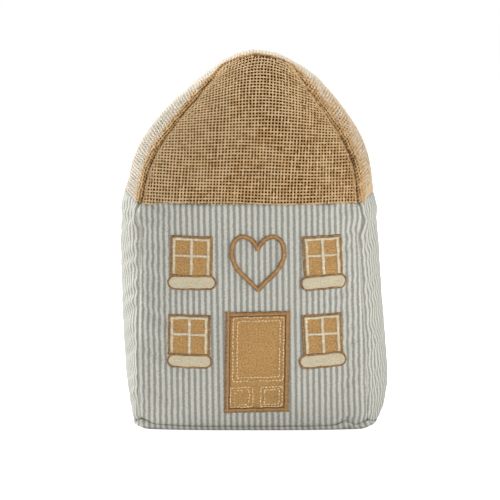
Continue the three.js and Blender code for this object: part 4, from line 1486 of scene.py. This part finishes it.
class DOORSTOP_OT_filling(bpy.types.Operator):
    """Packs the fibre in the cover and gives the sand bag its calico"""

    bl_idname = "doorstop.filling"
    bl_label = "Filling"

    def execute(self, context):
        parts = []
        for panel in PANELS.values():
            A, B = panel.grid(*panel.cut(6 * MM))
            lumps = 0.6 * MM * np.sin(A * 23) * np.sin(B * 19)
            verts = panel.at(A, B, -4.5 * MM + lumps)[0].reshape(-1, 3)
            parts.append((verts, grid_faces(*A.shape), np.zeros((A.size, 2)), np.zeros(A.size)))
        piece = mesh_object("loose_fibre", *join(parts)[:2], material("fibre"))
        self.close(piece)
        finish(piece, "fibre", "fibre_filling")
        bag = bpy.data.objects.get("sand_bag")
        if bag is not None:
            for slot in bag.material_slots:
                slot.material = material("calico")
        return {"FINISHED"}

    def close(self, piece):
        """Welds the faces of the filling into one closed body by a coarse remesh."""
        work = piece.modifiers.new("weld", "REMESH")
        work.mode = "VOXEL"
        work.voxel_size = 5 * MM
        graph = bpy.context.evaluated_depsgraph_get()
        mesh = bpy.data.meshes.new_from_object(piece.evaluated_get(graph))
        piece.modifiers.clear()
        mesh.materials.clear()
        mesh.materials.append(material("fibre"))
        piece.data = mesh


# The stage

MIDDLE = (0, 0, 0.12)
# Each lamp: name, place, width and height in metres, and power
LAMPS = (
    ("left_lamp", (-1.5, 0.7, 0.9), (0.7, 0.8), 26),
    ("slope_lamp", (-1.1, 0.8, 1.5), (0.5, 0.5), 13),
    ("high_lamp", (-0.5, -0.1, 1.9), (0.6, 0.5), 15.5),
    ("right_lamp", (1.6, -0.4, 0.5), (0.8, 0.8), 20.5),
    ("front_lamp", (-0.3, -1.9, 0.6), (0.9, 0.7), 11.5),
    ("back_lamp", (0.3, 1.6, 1.2), (1.4, 1.0), 4),
)


def aimed(name, data, place, target):
    """A lamp or camera at a place, pointing at a target."""
    piece = bpy.data.objects.new(name, data)
    bpy.context.scene.collection.objects.link(piece)
    piece.location = place
    way = Vector(target) - Vector(place)
    piece.rotation_euler = way.to_track_quat("-Z", "Y").to_euler()
    return piece


class DOORSTOP_OT_stage(bpy.types.Operator):
    """Sets up the floor, the light and the camera"""

    bl_idname = "doorstop.stage"
    bl_label = "Stage"

    def execute(self, context):
        scene = context.scene
        scene.view_settings.view_transform = "Standard"
        self.camera(scene)
        self.world(scene)
        self.floor()
        for name, place, size, power in LAMPS:
            light = bpy.data.lights.new(name, "AREA")
            light.shape, light.size, light.size_y, light.energy = "RECTANGLE", *size, power
            aimed(name, light, place, MIDDLE)
        return {"FINISHED"}

    def camera(self, scene):
        """The photograph's camera: far away with a long lens, a little above the object's middle."""
        far, rise, target = 1.8, math.radians(6), (-0.0028, 0, 0.120)
        data = bpy.data.cameras.new("camera")
        data.lens, data.sensor_width, data.clip_start = 185, 36, 0.05
        place = (target[0], -far * math.cos(rise), target[2] + far * math.sin(rise))
        scene.camera = aimed("camera", data, place, target)

    def world(self, scene):
        """White behind the object, and an even pale light from all round."""
        scene.world = bpy.data.worlds.new("studio")
        nodes = Nodes(scene.world)
        even = nodes.add("ShaderNodeBackground", {}, {"Color": (1, 0.99, 0.98), "Strength": 0.23})
        white = nodes.add("ShaderNodeBackground", {}, {"Color": (1, 1, 1), "Strength": 1})
        nodes.pick_seen(even, white, "ShaderNodeOutputWorld")

    def floor(self):
        """A wide white floor that keeps the object's soft shadow."""
        size, drop = 6.0, -0.2 * MM
        corners = [(-size, -size, drop), (size, -size, drop), (size, size, drop), (-size, size, drop)]
        white = bpy.data.materials.new("floor")
        nodes = Nodes(white)
        pale = nodes.add("ShaderNodeBsdfDiffuse", {}, {"Color": (0.9, 0.9, 0.9)})
        glow = nodes.add("ShaderNodeEmission", {}, {"Strength": 1.0})
        nodes.pick_seen(pale, nodes.add("ShaderNodeAddShader", {}, [pale, glow]), "ShaderNodeOutputMaterial")
        mesh_object("floor", np.array(corners), np.array([[0, 1, 2, 3]]), white, smooth=False)


class DOORSTOP_PT_panel(bpy.types.Panel):
    """The door stop's pieces and sizes, in the 3D view's sidebar"""

    bl_idname = "DOORSTOP_PT_panel"
    bl_label = "Door stop"
    bl_space_type = "VIEW_3D"
    bl_region_type = "UI"
    bl_category = "Door stop"

    def draw(self, context):
        layout = self.layout
        for operator in OPERATORS:
            layout.operator(operator.bl_idname)
        for group in (context.scene.house_form, context.scene.house_cloth, context.scene.house_tints):
            box = layout.box()
            for name in group.__annotations__:
                box.prop(group, name)


GROUPS = {"house_form": HouseForm, "house_cloth": HouseCloth, "house_tints": HouseTints}
OPERATORS = (
    DOORSTOP_OT_walls,
    DOORSTOP_OT_roof,
    DOORSTOP_OT_filling,
    DOORSTOP_OT_windows,
    DOORSTOP_OT_door,
    DOORSTOP_OT_heart,
    DOORSTOP_OT_stage,
)


def register():
    for kind in (*GROUPS.values(), *OPERATORS, DOORSTOP_PT_panel):
        bpy.utils.register_class(kind)
    for name, group in GROUPS.items():
        setattr(bpy.types.Scene, name, PointerProperty(type=group))


def unregister():
    for name in GROUPS:
        delattr(bpy.types.Scene, name)
    for kind in reversed((*GROUPS.values(), *OPERATORS, DOORSTOP_PT_panel)):
        bpy.utils.unregister_class(kind)


def main():
    register()
    make_panels()
    bpy.ops.doorstop.walls()
    bpy.ops.doorstop.roof()
    bpy.ops.doorstop.filling()
    bpy.ops.doorstop.windows()
    bpy.ops.doorstop.door()
    bpy.ops.doorstop.heart()
    bpy.ops.doorstop.stage()


if __name__ == "__main__":
    main()
